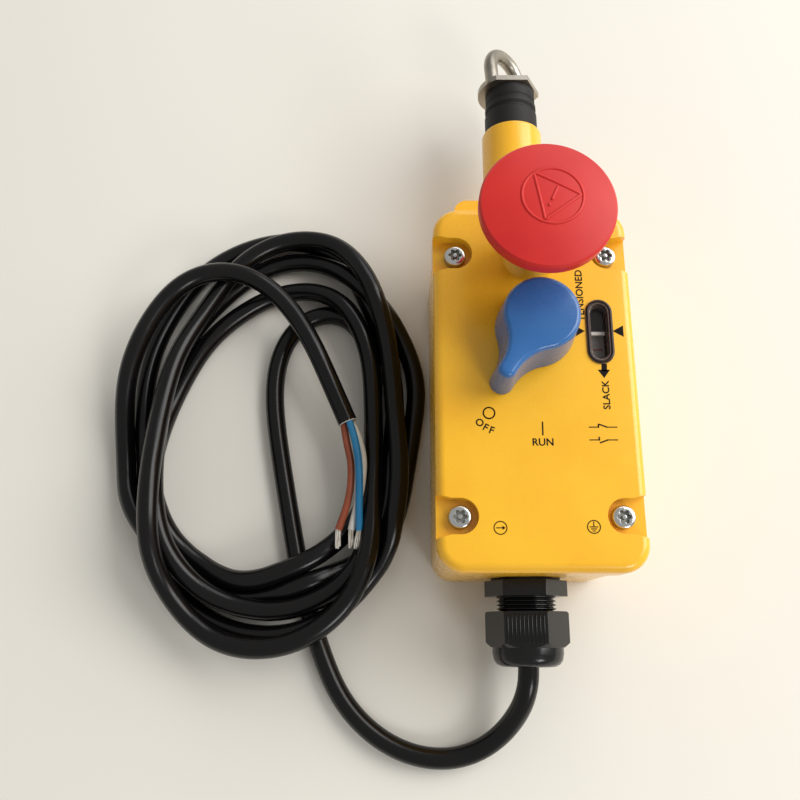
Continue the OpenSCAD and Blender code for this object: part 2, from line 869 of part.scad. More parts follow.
module contact_blocks() {
    color([0.2, 0.2, 0.22])
    for (x = [-1, 1])
        translate([x * block_x, stop_y, 0])
            difference() {
                translate([-block_w / 2, -block_l / 2, mount_depth + block_foot])
                    cube([block_w, block_l, block_top - mount_depth - block_foot]);
                post(plunger_d + 2 * fit, plunger_low - well_floor, block_top + 1);
                for (y = [-1, 1])
                    post(fixing_d, block_top - 2, block_top + 1, 0, y * fixing_y);
            }
}

module contact_plungers() {
    color([0.9, 0.88, 0.8])
    for (x = [-1, 1])
        post(plunger_d, plunger_low, stem_low - yoke_t - 2 * seat, x * block_x, stop_y);
}

module terminal_block() {
    color([0.88, 0.86, 0.8])
    translate([0, term_y, mount_depth + block_foot])
        difference() {
            translate([-term_w / 2, -term_l / 2, 0])
                cube([term_w, term_l, term_h]);
            for (k = [0 : term_n - 1])
                translate([(k - (term_n - 1) / 2) * term_pitch, 0, 0]) {
                    translate([0, 0, term_h - term_sink])
                        cylinder(d = term_screw_d + 2 * seat, h = term_sink + 1);
                    translate([0, 0, term_h / 2 - 2])
                        rotate([90, 0, 0])
                            cylinder(d = 3, h = term_l + 2, center = true);
                }
        }
}

module terminal_screws() {
    color([0.8, 0.65, 0.3])
    for (k = [0 : term_n - 1])
        translate([(k - (term_n - 1) / 2) * term_pitch, term_y, mount_depth + block_foot + term_h - term_sink + seat])
            difference() {
                cylinder(d = term_screw_d, h = term_screw_l);
                translate([-term_screw_d, -slot_cut / 2, term_screw_l - slot_cut])
                    cube([2 * term_screw_d, slot_cut, 2 * slot_cut]);
            }
}

module earth_screw() {
    color([0.8, 0.65, 0.3])
    translate([earth_x, earth_y, 0])
        difference() {
            union() {
                post(screw_d, 2, floor_t + 1);
                post(head_d, floor_t + seat, floor_t + 3);
            }
            translate([-head_d / 2, -0.5, floor_t + 2])
                cube([head_d, 1, 2]);
        }
}

// ---------------------------------------------------------------- cable gland

module gland_hexagon(y0, y1) {
    translate([0, y1, gland_z])
        rotate([90, 0, 0])
            rotate([0, 0, gland_turn])
                cylinder(r = gland_r, h = y1 - y0, $fn = 6);
}

module gland_body() {
    thread = gland_d / 2;
    color([0.1, 0.1, 0.1])
    difference() {
        union() {
            gland_hexagon(neck_y, end_y - washer_t);
            turned_y(concat(
                [[0, nut_y - 6], [thread - 1.4, nut_y - 6], [thread - 1.4, nut_y + 0.2]],
                [for (k = [0 : 3]) each [
                    [thread - 1.1, nut_y + 0.3 + k * 1.25], [thread - 0.1, nut_y + 0.7 + k * 1.25],
                    [thread - 0.1, nut_y + 0.95 + k * 1.25], [thread - 1.1, nut_y + 1.35 + k * 1.25]
                ]],
                [[thread - 1.1, neck_y + 1], [thread, neck_y + 1], [thread, end_y + wall + 1.5], [0, end_y + wall + 1.5]]
            ), 0, gland_z);
        }
        rod_y(gland_bore, nut_y - 7, end_y + wall + 3, 0, gland_z);
    }
}

module gland_washer() {
    color([0.12, 0.12, 0.12])
    difference() {
        rod_y(gland_af - 1, end_y - washer_t + seat, end_y - seat, 0, gland_z);
        rod_y(gland_d + 2 * fit, end_y - washer_t - 1, end_y + 1, 0, gland_z);
    }
}

module gland_insert() {
    color([0.08, 0.08, 0.08])
    difference() {
        rod_y(nut_bore - 2 * seat, exit_y + 1.5 + seat, nut_y - 6 - seat, 0, gland_z);
        rod_y(cable_d, exit_y, nut_y, 0, gland_z);
    }
}

module gland_nut() {
    r = gland_af / 2;
    color([0.1, 0.1, 0.1])
    difference() {
        union() {
            intersection() {
                gland_hexagon(collar_y, nut_y);
                turned_y([[0, collar_y], [r + 0.2, collar_y], [gland_r + 0.1, collar_y + 1.6],
                    [gland_r + 0.1, nut_y - 0.6], [gland_r - 0.6, nut_y], [0, nut_y]], 0, gland_z);
            }
            turned_y([[0, exit_y], [r - 3, exit_y], [r - 1.6, exit_y + 0.7], [r - 0.7, exit_y + 2],
                [r - 0.3, exit_y + 4], [r - 0.3, collar_y + 1], [0, collar_y + 1]], 0, gland_z);
        }
        rod_y(gland_d - 2.8 + 2 * fit, nut_y - 6, nut_y + 1, 0, gland_z);
        rod_y(nut_bore, exit_y + 1.5, nut_y - 5, 0, gland_z);
        rod_y(cable_d + 1, exit_y - 1, nut_y, 0, gland_z);
    }
}

// ---------------------------------------------------------------- lead

function oval(middle, reach, lean, n) =
    [for (k = [0 : n - 1]) let (x = reach[0] * cos(360 * k / n), y = reach[1] * sin(360 * k / n))
        middle + [x * cos(lean) - y * sin(lean), x * sin(lean) + y * cos(lean)]];
function stripped(route) =
    let (n = len(route), tip = route[n - 1])
    [tip, tip + strip_l * heading(route, n - 1)];

module lead_run() {
    color([0.1, 0.09, 0.09])
    tube(lead_route, cable_d);
}

module lead_coil() {
    color([0.1, 0.09, 0.09])
    linear_extrude(coil_top)
        difference() {
            polygon(oval(coil_mid, coil_out, coil_lean, 60));
            polygon(oval(hole_mid, coil_in, coil_lean, 60));
        }
}

module lead_tail() {
    color([0.1, 0.09, 0.09])
    tube(tail_route, cable_d);
}

module core_brown() {
    color([0.6, 0.3, 0.2])
    tube(brown_route, core_d);
}

module core_blue() {
    color([0.15, 0.45, 0.68])
    tube(blue_route, core_d);
}

module core_grey() {
    color([0.7, 0.69, 0.65])
    tube(grey_route, core_d);
}

module core_ends() {
    color([0.8, 0.78, 0.72])
    for (route = [brown_route, blue_route, grey_route])
        tube(stripped(route), core_d * 0.75);
}

housing();
lid();
lid_gasket();
lid_screws();
rope_barrel();
barrel_bush();
rope_gaiter();
pull_rod();
rope_eye();
spring_cup();
tension_spring();
tension_carrier();
tension_slider();
tension_line();
window_frame();
window_lens();
button_head();
button_stem();
button_seal();
button_yoke();
button_spring();
reset_knob();
reset_spindle();
reset_seal();
reset_cam();
contact_blocks();
contact_plungers();
terminal_block();
terminal_screws();
earth_screw();
gland_body();
gland_washer();
gland_insert();
gland_nut();
lead_run();
lead_coil();
lead_tail();
core_brown();
core_blue();
core_grey();
core_ends();
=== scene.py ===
"""Dresses the rope pull switch: finishes, printed marks, moulded detail and the coiled lead."""

from __future__ import annotations

import logging
import math
from collections.abc import Callable, Iterable, Sequence
from dataclasses import dataclass, field
from enum import Enum

import bmesh
import bpy
import numpy as np
from mathutils import Matrix, Vector

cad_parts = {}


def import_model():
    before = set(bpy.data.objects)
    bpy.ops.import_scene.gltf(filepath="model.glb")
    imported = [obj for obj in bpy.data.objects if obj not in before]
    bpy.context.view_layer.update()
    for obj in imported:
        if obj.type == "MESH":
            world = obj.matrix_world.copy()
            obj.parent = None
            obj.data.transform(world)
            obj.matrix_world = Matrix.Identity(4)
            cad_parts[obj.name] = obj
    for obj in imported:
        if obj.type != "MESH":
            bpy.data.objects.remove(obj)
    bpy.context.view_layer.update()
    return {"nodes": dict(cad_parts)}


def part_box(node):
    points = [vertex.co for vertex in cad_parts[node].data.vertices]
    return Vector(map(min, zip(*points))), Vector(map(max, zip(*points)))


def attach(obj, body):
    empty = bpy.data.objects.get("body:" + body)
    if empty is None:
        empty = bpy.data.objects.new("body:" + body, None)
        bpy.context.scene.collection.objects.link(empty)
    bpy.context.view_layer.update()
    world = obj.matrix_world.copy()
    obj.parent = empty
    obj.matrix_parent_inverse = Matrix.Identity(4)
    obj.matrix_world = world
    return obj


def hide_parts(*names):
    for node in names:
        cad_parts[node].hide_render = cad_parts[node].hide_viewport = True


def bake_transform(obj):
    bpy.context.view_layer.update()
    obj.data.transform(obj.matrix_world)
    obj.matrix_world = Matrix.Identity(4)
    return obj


LOG = logging.getLogger("rope_pull_switch")
MM = 0.001
# Points of a mesh closer than this are one point, in metres.
WELD_GAP = 0.002 * MM
# Faces that meet at more than this many degrees keep a sharp edge between them.
CREASE = 32.0
# Height of the lid's face over its gasket, in millimetres.
LID_RISE = 12.4
# Height of the stop button's dome and width of its plain edge, in millimetres.
DOME_RISE = 1.8
DOME_EDGE = 0.6

Point = tuple[float, float, float]
Flat = tuple[float, float]
Colour = tuple[float, float, float]
Steps = tuple[int, int, int]
Array = np.ndarray


class Body(str, Enum):
    """The frame's bodies that pieces ride on."""

    HOUSING = "housing"
    ROD = "pull_rod"
    BUTTON = "stop_button"


# ---------------------------------------------------------------- shader maths


def linear(steps: Steps) -> Colour:
    """Turns a colour in display steps of 0 to 255 into scene-linear values.

    Args:
        steps: Its red, green and blue steps.

    Returns:
        The linear colour.
    """
    shares = np.array(steps) / 255
    low = shares / 12.92
    high = ((shares + 0.055) / 1.055) ** 2.4
    return tuple(float(v) for v in np.where(shares <= 0.04045, low, high))


def operator(operation: str, reflected: bool = False) -> Callable[[Shade, Shade | float], Shade]:
    """Makes an operator method of Shade out of a Math node.

    Args:
        operation: The node's operation.
        reflected: Whether the other value comes first.

    Returns:
        The method.
    """

    def apply(self: Shade, other: Shade | float) -> Shade:
        """Adds the node."""
        values = (other, self) if reflected else (self, other)
        return self.surface.add("ShaderNodeMath", {"operation": operation}, dict(enumerate(values)))

    return apply


class Shade:
    """A socket's value that can stand in arithmetic."""

    def __init__(self, surface: Surface, socket: bpy.types.NodeSocket) -> None:
        """Keeps the socket and the surface whose nodes it belongs to."""
        self.surface = surface
        self.socket = socket

    __add__ = operator("ADD")
    __radd__ = operator("ADD", reflected=True)
    __sub__ = operator("SUBTRACT")
    __rsub__ = operator("SUBTRACT", reflected=True)
    __mul__ = operator("MULTIPLY")
    __rmul__ = operator("MULTIPLY", reflected=True)
    __truediv__ = operator("DIVIDE")
    __rtruediv__ = operator("DIVIDE", reflected=True)

    def clamped(self) -> Shade:
        """The value held between zero and one."""
        return self.surface.add(
            "ShaderNodeMath", {"operation": "ADD", "use_clamp": True}, {0: self, 1: 0.0}
        )


class Surface:
    """One material's node tree with a Principled shader at its end."""

    def __init__(self, name: str) -> None:
        """Makes the material and its shader.

        Args:
            name: The material's name.
        """
        self.material = bpy.data.materials.new(name)
        self.material.use_nodes = True
        self.tree = self.material.node_tree
        self.tree.nodes.clear()
        self.shader = self.tree.nodes.new("ShaderNodeBsdfPrincipled")
        output = self.tree.nodes.new("ShaderNodeOutputMaterial")
        self.tree.links.new(self.shader.outputs["BSDF"], output.inputs["Surface"])
        self._place: Shade | None = None

    def add(
        self,
        kind: str,
        settings: dict[str, object] | None = None,
        inputs: dict[int | str, object] | None = None,
        output: int | str = 0,
    ) -> Shade:
        """Adds any node.

        Args:
            kind: The node's type.
            settings: Its properties, set first.
            inputs: A value or a Shade for each socket, by number or name.
            output: The socket that is handed back.

        Returns:
            The chosen output.
        """
        node = self.tree.nodes.new(kind)
        for name, value in (settings or {}).items():
            setattr(node, name, value)
        for key, value in (inputs or {}).items():
            self.feed(node.inputs[key], value)
        return Shade(self, node.outputs[output])

    def feed(self, socket: bpy.types.NodeSocket, value: object) -> None:
        """Links a Shade to a socket, or sets the socket's own value.

        Args:
            socket: The input.
            value: A Shade, number, colour or vector.
        """
        if isinstance(value, Shade):
            self.tree.links.new(value.socket, socket)
        elif socket.type == "RGBA":
            socket.default_value = (*value[:3], 1)
        else:
            socket.default_value = value

    @property
    def place(self) -> Shade:
        """The point on the piece, in metres, made once."""
        if self._place is None:
            self._place = self.add("ShaderNodeTexCoord", output="Object")
        return self._place

    def noise(self, size: float, detail: float = 2.0) -> Shade:
        """Soft random variation.

        Args:
            size: The size of its lumps in metres.
            detail: How many finer layers it has.

        Returns:
            A value around one half.
        """
        inputs = {"Vector": self.place, "Scale": 1 / size, "Detail": detail}
        return self.add("ShaderNodeTexNoise", None, inputs)

    def mix(self, mask: Shade, first: object, second: object) -> Shade:
        """Mixes two colours.

        Args:
            mask: Zero gives the first and one the second.
            first: A colour.
            second: A colour.

        Returns:
            The mixed colour.
        """
        return self.add("ShaderNodeMix", {"data_type": "RGBA"}, {0: mask, 6: first, 7: second}, 2)

    def bump(self, height: Shade, depth: float) -> Shade:
        """A bumped normal.

        Args:
            height: The height, from zero to one.
            depth: What one stands for, in metres.

        Returns:
            The normal.
        """
        return self.add("ShaderNodeBump", None, {"Height": height, "Distance": depth, "Strength": 1.0})

    def dress(self, **sockets: object) -> bpy.types.Material:
        """Feeds the shader's sockets, named with underscores for spaces.

        Args:
            sockets: A value or a Shade for each socket.

        Returns:
            The finished material.
        """
        for name, value in sockets.items():
            self.feed(self.shader.inputs[name.replace("_", " ")], value)
        return self.material


# ---------------------------------------------------------------- finishes


@dataclass(frozen=True)
class Finish:
    """A painted, moulded or plated finish with its own grain. Sizes in millimetres.

    Attributes:
        name: The material's name.
        colour: Main colour, in display steps.
        shade: The colour that soft patches drift towards.
        roughness: Mean roughness.
        spread: How far roughness wanders either way.
        grain: Size of the surface's lumps.
        depth: Height of those lumps.
        patch: Size of the colour's soft patches.
        metallic: One for bare metal.
        coat: Weight of a clear top layer.
        specular: Strength of the reflection, one half being plain plastic.
    """

    name: str
    colour: Steps
    shade: Steps
    roughness: float
    spread: float = 0.05
    grain: float = 0.8
    depth: float = 0.01
    patch: float = 18.0
    metallic: float = 0.0
    coat: float = 0.0
    specular: float = 0.5

    def make(self) -> bpy.types.Material:
        """Builds the material."""
        surface = Surface(self.name)
        drift = surface.noise(self.patch * MM, 3.0)
        grain = surface.noise(self.grain * MM)
        patches = ((drift - 0.35) * 2.4 + (grain - 0.5) * 0.5).clamped()
        wander = (grain - 0.5) * (2 * self.spread) + (drift - 0.5) * self.spread
        return surface.dress(
            Base_Color=surface.mix(patches, linear(self.colour), linear(self.shade)),
            Roughness=(wander + self.roughness).clamped(),
            Metallic=self.metallic,
            Coat_Weight=self.coat,
            Coat_Roughness=0.12,
            Specular_IOR_Level=self.specular,
            Normal=surface.bump(grain, self.depth * MM),
        )


@dataclass(frozen=True)
class PlateWithPaintedRecessShade:
    """Bright plate with painted shade that darkens it with depth, standing in for the shade in a screw's
    drive recess.

    Attributes:
        name: The material's name.
        top: Height of the head's upper face in metres.
        plate: Colour of the plating, in display steps.
        recess_shade: Painted shade colour at the bottom of the recess.
        start: Depth at which the painted shade begins, in metres.
        depth: Further depth at which the painted shade is darkest.
    """

    name: str
    top: float
    plate: Steps = (222, 224, 222)
    # Painted shade: the colour of the recess floor, standing in for its shade.
    recess_shade: Steps = (168, 168, 160)
    start: float = 0.15 * MM
    depth: float = 1.0 * MM

    def make(self) -> bpy.types.Material:
        """Builds the material."""
        surface = Surface(self.name)
        height = surface.add("ShaderNodeSeparateXYZ", None, {0: surface.place}, 2)
        grain = surface.noise(0.5 * MM)
        # Painted shade: darker with depth below the head's face, as shade in the recess.
        painted_shade = ((self.top - self.start - height) / self.depth).clamped()
        return surface.dress(
            Base_Color=surface.mix(painted_shade, linear(self.plate), linear(self.recess_shade)),
            Roughness=((grain - 0.5) * 0.2 + painted_shade * 0.3 + 0.18).clamped(),
            Metallic=1.0,
            Normal=surface.bump(grain, 0.004 * MM),
        )


@dataclass(frozen=True)
class ClearFinish:
    """Clear moulded plastic that lets most light through.

    Attributes:
        name: The material's name.
        colour: Its linear colour.
        alpha: How much of it shows.
    """

    name: str
    colour: Colour
    alpha: float

    def make(self) -> bpy.types.Material:
        """Builds the material."""
        surface = Surface(self.name)
        haze = surface.noise(3 * MM, 3.0)
        return surface.dress(
            Base_Color=self.colour,
            Roughness=(haze * 0.08 + 0.03).clamped(),
            Alpha=(haze * 0.06 + self.alpha).clamped(),
        )


FINISHES = {
    finish.name: finish
    for finish in (
        Finish("yellow_enamel", (255, 194, 40), (250, 184, 32), 0.28, 0.04, 1.8, 0.006, coat=0.3),
        Finish("black_rubber", (27, 26, 24), (18, 17, 16), 0.6, 0.08, 0.5, 0.012, specular=0.35),
        Finish("zinc_plate", (206, 208, 208), (168, 170, 170), 0.2, 0.1, 0.5, 0.004, metallic=1.0),
        Finish("sintered_bronze", (176, 136, 70), (140, 104, 52), 0.4, 0.1, 0.4, 0.02, metallic=1.0),
        Finish("satin_stainless", (182, 176, 164), (146, 139, 128), 0.36, 0.12, 0.7, 0.02, metallic=1.0),
        Finish("spring_wire", (150, 150, 152), (118, 118, 120), 0.3, 0.1, 0.4, 0.006, metallic=1.0),
        Finish("grey_nylon", (132, 132, 130), (112, 112, 110), 0.5, 0.06, 0.6, 0.006),
        Finish("black_nylon", (18, 18, 18), (11, 11, 12), 0.2, 0.05, 0.7, 0.004, specular=0.45),
        Finish("white_plastic", (238, 235, 226), (228, 224, 212), 0.42, 0.05, 0.6, 0.004),
        # The rim's brown painted lighter for the window's inner wall and skirt, as painted light.
        Finish("window_brown_painted_lit", (112, 94, 82), (78, 62, 54), 0.2, 0.05, 0.9, 0.003, patch=5),
        Finish("window_brown", (26, 14, 11), (44, 24, 16), 0.2, 0.05, 0.9, 0.003, patch=5, specular=0.35),
        Finish("red_plastic", (214, 40, 34), (204, 32, 29), 0.42, 0.06, 0.5, 0.006, specular=0.4),
        Finish("blue_plastic", (44, 106, 172), (36, 97, 163), 0.28, 0.04, 0.8, 0.003, coat=0.35),
        Finish("brass", (206, 168, 92), (176, 138, 66), 0.3, 0.1, 0.4, 0.008, metallic=1.0),
        Finish("black_sheath", (16, 14, 14), (10, 9, 9), 0.22, 0.05, 1.6, 0.004, specular=0.35),
        Finish("brown_insulation", (176, 90, 58), (138, 68, 44), 0.3, 0.06, 0.5, 0.006, patch=9),
        Finish("blue_insulation", (40, 138, 192), (32, 118, 174), 0.3, 0.06, 0.5, 0.006, patch=9),
        Finish("grey_insulation", (232, 230, 222), (204, 202, 194), 0.4, 0.06, 0.5, 0.006, patch=9),
        Finish(
            "tinned_copper", (255, 252, 246), (206, 194, 174), 0.22, 0.1, 0.3, 0.01, patch=2, metallic=0.45
        ),
        Finish("printing_ink", (12, 8, 7), (22, 15, 12), 0.6, 0.06, 0.3, 0.002, specular=0.15),
        Finish("red_ink", (120, 24, 28), (92, 18, 22), 0.4, 0.05, 0.3, 0.002),
        ClearFinish("clear_lens", (0.02, 0.018, 0.016), 0.05),
    )
}


class Rack:
    """Keeps one material for each finish."""

    def __init__(self) -> None:
        """Starts with no material made."""
        self.made: dict[str, bpy.types.Material] = {}

    def __getitem__(self, name: str) -> bpy.types.Material:
        """The material of a named finish, made on first use."""
        if name not in self.made:
            self.made[name] = FINISHES[name].make()
        return self.made[name]


# ---------------------------------------------------------------- mesh helpers


def put(name: str, data: bpy.types.ID) -> bpy.types.Object:
    """Makes an object of its data and puts it in the scene."""
    piece = bpy.data.objects.new(name, data)
    bpy.context.scene.collection.objects.link(piece)
    return piece


def coat(mesh: bpy.types.Mesh, material: bpy.types.Material) -> None:
    """Gives a frame mesh one material and smooth faces, without stored normals."""
    mesh.materials.clear()
    mesh.materials.append(material)
    stored = mesh.attributes.get("custom_normal")
    if stored is not None:
        mesh.attributes.remove(stored)
    mesh.polygons.foreach_set("use_smooth", [True] * len(mesh.polygons))


def paint_node(node: bpy.types.Object, material: bpy.types.Material, edge: float = 0.0) -> None:
    """Gives a frame node its material, broken edges and smooth shading up to the crease.

    Args:
        node: The frame's object.
        material: Its finish.
        edge: Width of its broken edges in millimetres, or zero.
    """
    coat(node.data, material)
    weld = node.modifiers.new("weld", "WELD")
    weld.merge_threshold = WELD_GAP
    if edge:
        broken = node.modifiers.new("edges", "BEVEL")
        broken.width = edge * MM
        broken.segments = 3
        broken.limit_method = "ANGLE"
        broken.angle_limit = math.radians(CREASE)
        broken.harden_normals = False
    split = node.modifiers.new("crease", "EDGE_SPLIT")
    split.split_angle = math.radians(CREASE)
    even = node.modifiers.new("even", "WEIGHTED_NORMAL")
    even.weight = 90
    even.keep_sharp = True


class Mould:
    """Collects plates, rings and rods into one mesh."""

    def __init__(self) -> None:
        """Starts empty."""
        self.mesh = bmesh.new()

    def loft(self, rings: Sequence[Sequence[Iterable[float]]], capped: bool = True) -> None:
        """Joins closed rings of equal count into a skin.

        Args:
            rings: Points of each ring, in millimetres.
            capped: Whether the first and last rings are filled.
        """
        rows = [[self.mesh.verts.new(Vector(p) * MM) for p in ring] for ring in rings]
        count = len(rows[0])
        for low, high in zip(rows, rows[1:], strict=False):
            for k in range(count):
                self.mesh.faces.new((low[k], low[(k + 1) % count], high[(k + 1) % count], high[k]))
        if capped:
            self.mesh.faces.new(list(reversed(rows[0])))
            self.mesh.faces.new(rows[-1])

    def plate(self, outline: Sequence[Flat], low: float, high: float) -> None:
        """A flat plate with the given outline, anticlockwise from above.

        Args:
            outline: Its corners in millimetres.
            low: Height of its underside.
            high: Height of its top.
        """
        self.loft([[(x, y, low) for x, y in outline], [(x, y, high) for x, y in outline]])

    def stroke(
        self, line: Sequence[Flat], width: float, low: float, high: float, closed: bool = False
    ) -> None:
        """A flat band of even width along a line.

        Args:
            line: The points of its middle, in millimetres.
            width: Its width.
            low: Height of its underside.
            high: Height of its top.
            closed: Whether it joins up at its ends.
        """
        for a, b in zip(line, [*line[1:], line[0]] if closed else line[1:], strict=False):
            along = (Vector(b) - Vector(a)).normalized() * width / 2
            across = Vector((-along.y, along.x))
            start, end = Vector(a) - along * 0.5, Vector(b) + along * 0.5
            corners = (start - across, end - across, end + across, start + across)
            self.plate([tuple(c) for c in corners], low, high)

    def finish(self, name: str, material: bpy.types.Material, smooth: bool = False) -> bpy.types.Object:
        """Turns the collected mesh into an object.

        Args:
            name: The piece's name.
            material: Its finish.
            smooth: Whether its faces are shaded smooth.

        Returns:
            The object.
        """
        bmesh.ops.recalc_face_normals(self.mesh, faces=self.mesh.faces)
        data = bpy.data.meshes.new(name)
        self.mesh.to_mesh(data)
        self.mesh.free()
        data.materials.append(material)
        data.polygons.foreach_set("use_smooth", [smooth] * len(data.polygons))
        return put(name, data)


def mount(piece: bpy.types.Object, body: Body) -> bpy.types.Object:
    """Rides a piece on a body and logs it.

    Args:
        piece: The piece.
        body: The body it moves with.

    Returns:
        The piece.
    """
    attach(piece, body.value)
    LOG.info("%s on %s", piece.name, body.value)
    return piece


def axes(along: Array) -> tuple[Array, Array, Array]:
    """Unit vectors along a direction, across it and over it."""
    along = along / np.linalg.norm(along)
    side = np.cross(along, (0, 0, 1))
    side /= np.linalg.norm(side)
    return along, side, np.cross(side, along)


def around(count: int) -> Array:
    """Evenly spaced turns round a circle, in radians."""
    return np.linspace(0, 2 * math.pi, count, endpoint=False)


def hoop(centre: Array, side: Array, lift: Array, radius: float, count: int) -> list[Array]:
    """A ring of points.

    Args:
        centre: Its centre.
        side: Unit vector across it.
        lift: Unit vector over it.
        radius: Its radius.
        count: How many points it has.

    Returns:
        The points.
    """
    return [centre + radius * (math.cos(a) * side + math.sin(a) * lift) for a in around(count)]


def smooth_route(points: Sequence[Point] | Array, step: float) -> Array:
    """A smooth curve through points, cut into even steps.

    Args:
        points: The points it passes through.
        step: Distance between the points that come out.

    Returns:
        The points of the curve.
    """
    way = np.asarray(points, float)
    padded = np.vstack([2 * way[0] - way[1], way, 2 * way[-1] - way[-2]])
    t = np.linspace(0, 1, 12, endpoint=False)[:, None]
    parts = [
        0.5 * (2 * b + (c - a) * t + (2 * a - 5 * b + 4 * c - d) * t**2 + (3 * b - a - 3 * c + d) * t**3)
        for a, b, c, d in zip(padded, padded[1:], padded[2:], padded[3:], strict=False)
    ]
    fine = np.vstack([*parts, way[-1:]])
    run = np.concatenate([[0], np.cumsum(np.linalg.norm(np.diff(fine, axis=0), axis=1))])
    stations = np.linspace(0, run[-1], max(3, round(run[-1] / step) + 1))
    return np.stack([np.interp(stations, run, fine[:, k]) for k in range(3)], axis=1)


def tube_curve(name: str, route: Array, diameter: float, material: bpy.types.Material) -> bpy.types.Object:
    """A round rod along a route, as a curve with capped ends.

    Args:
        name: The piece's name.
        route: Points of its middle line, in millimetres.
        diameter: Its diameter in millimetres.
        material: Its finish.

    Returns:
        The curve object.
    """
    curve = bpy.data.curves.new(name, "CURVE")
    curve.dimensions = "3D"
    curve.bevel_depth = diameter / 2 * MM
    curve.bevel_resolution = 6
    curve.use_fill_caps = True
    spline = curve.splines.new("POLY")
    spline.points.add(len(route) - 1)
    spline.points.foreach_set("co", np.hstack([route * MM, np.ones((len(route), 1))]).ravel())
    spline.use_smooth = True
    curve.materials.append(material)
    return put(name, curve)


# ---------------------------------------------------------------- the lead

# Points of the lead are in millimetres. One with no height lies on the floor.
# The way out of the gland and round to the coil.
LEAD_ROUTE = [
    (0, -86.5, 18.6), (0, -88, 18.5), (-0.3, -91.5, 18), (-1.4, -96.8, 15.8), (-3.6, -102, 12.2),
    (-7.2, -107.2, 8.4), (-11.6, -111.2, 5.6), (-16.8, -114.4, 4), (-24, -116.4), (-33, -116.2),
    (-43.6, -113.2), (-54, -106.4), (-62.8, -96.6), (-68.4, -84.6), (-73, -72), (-77.2, -58),
    (-80.6, -42), (-85, -20), (-88.4, 0), (-89.4, 14), (-87.4, 27), (-81.4, 37.5), (-72.6, 42.8),
    (-62, 41.2), (-55.4, 32), (-52.6, 17),
]

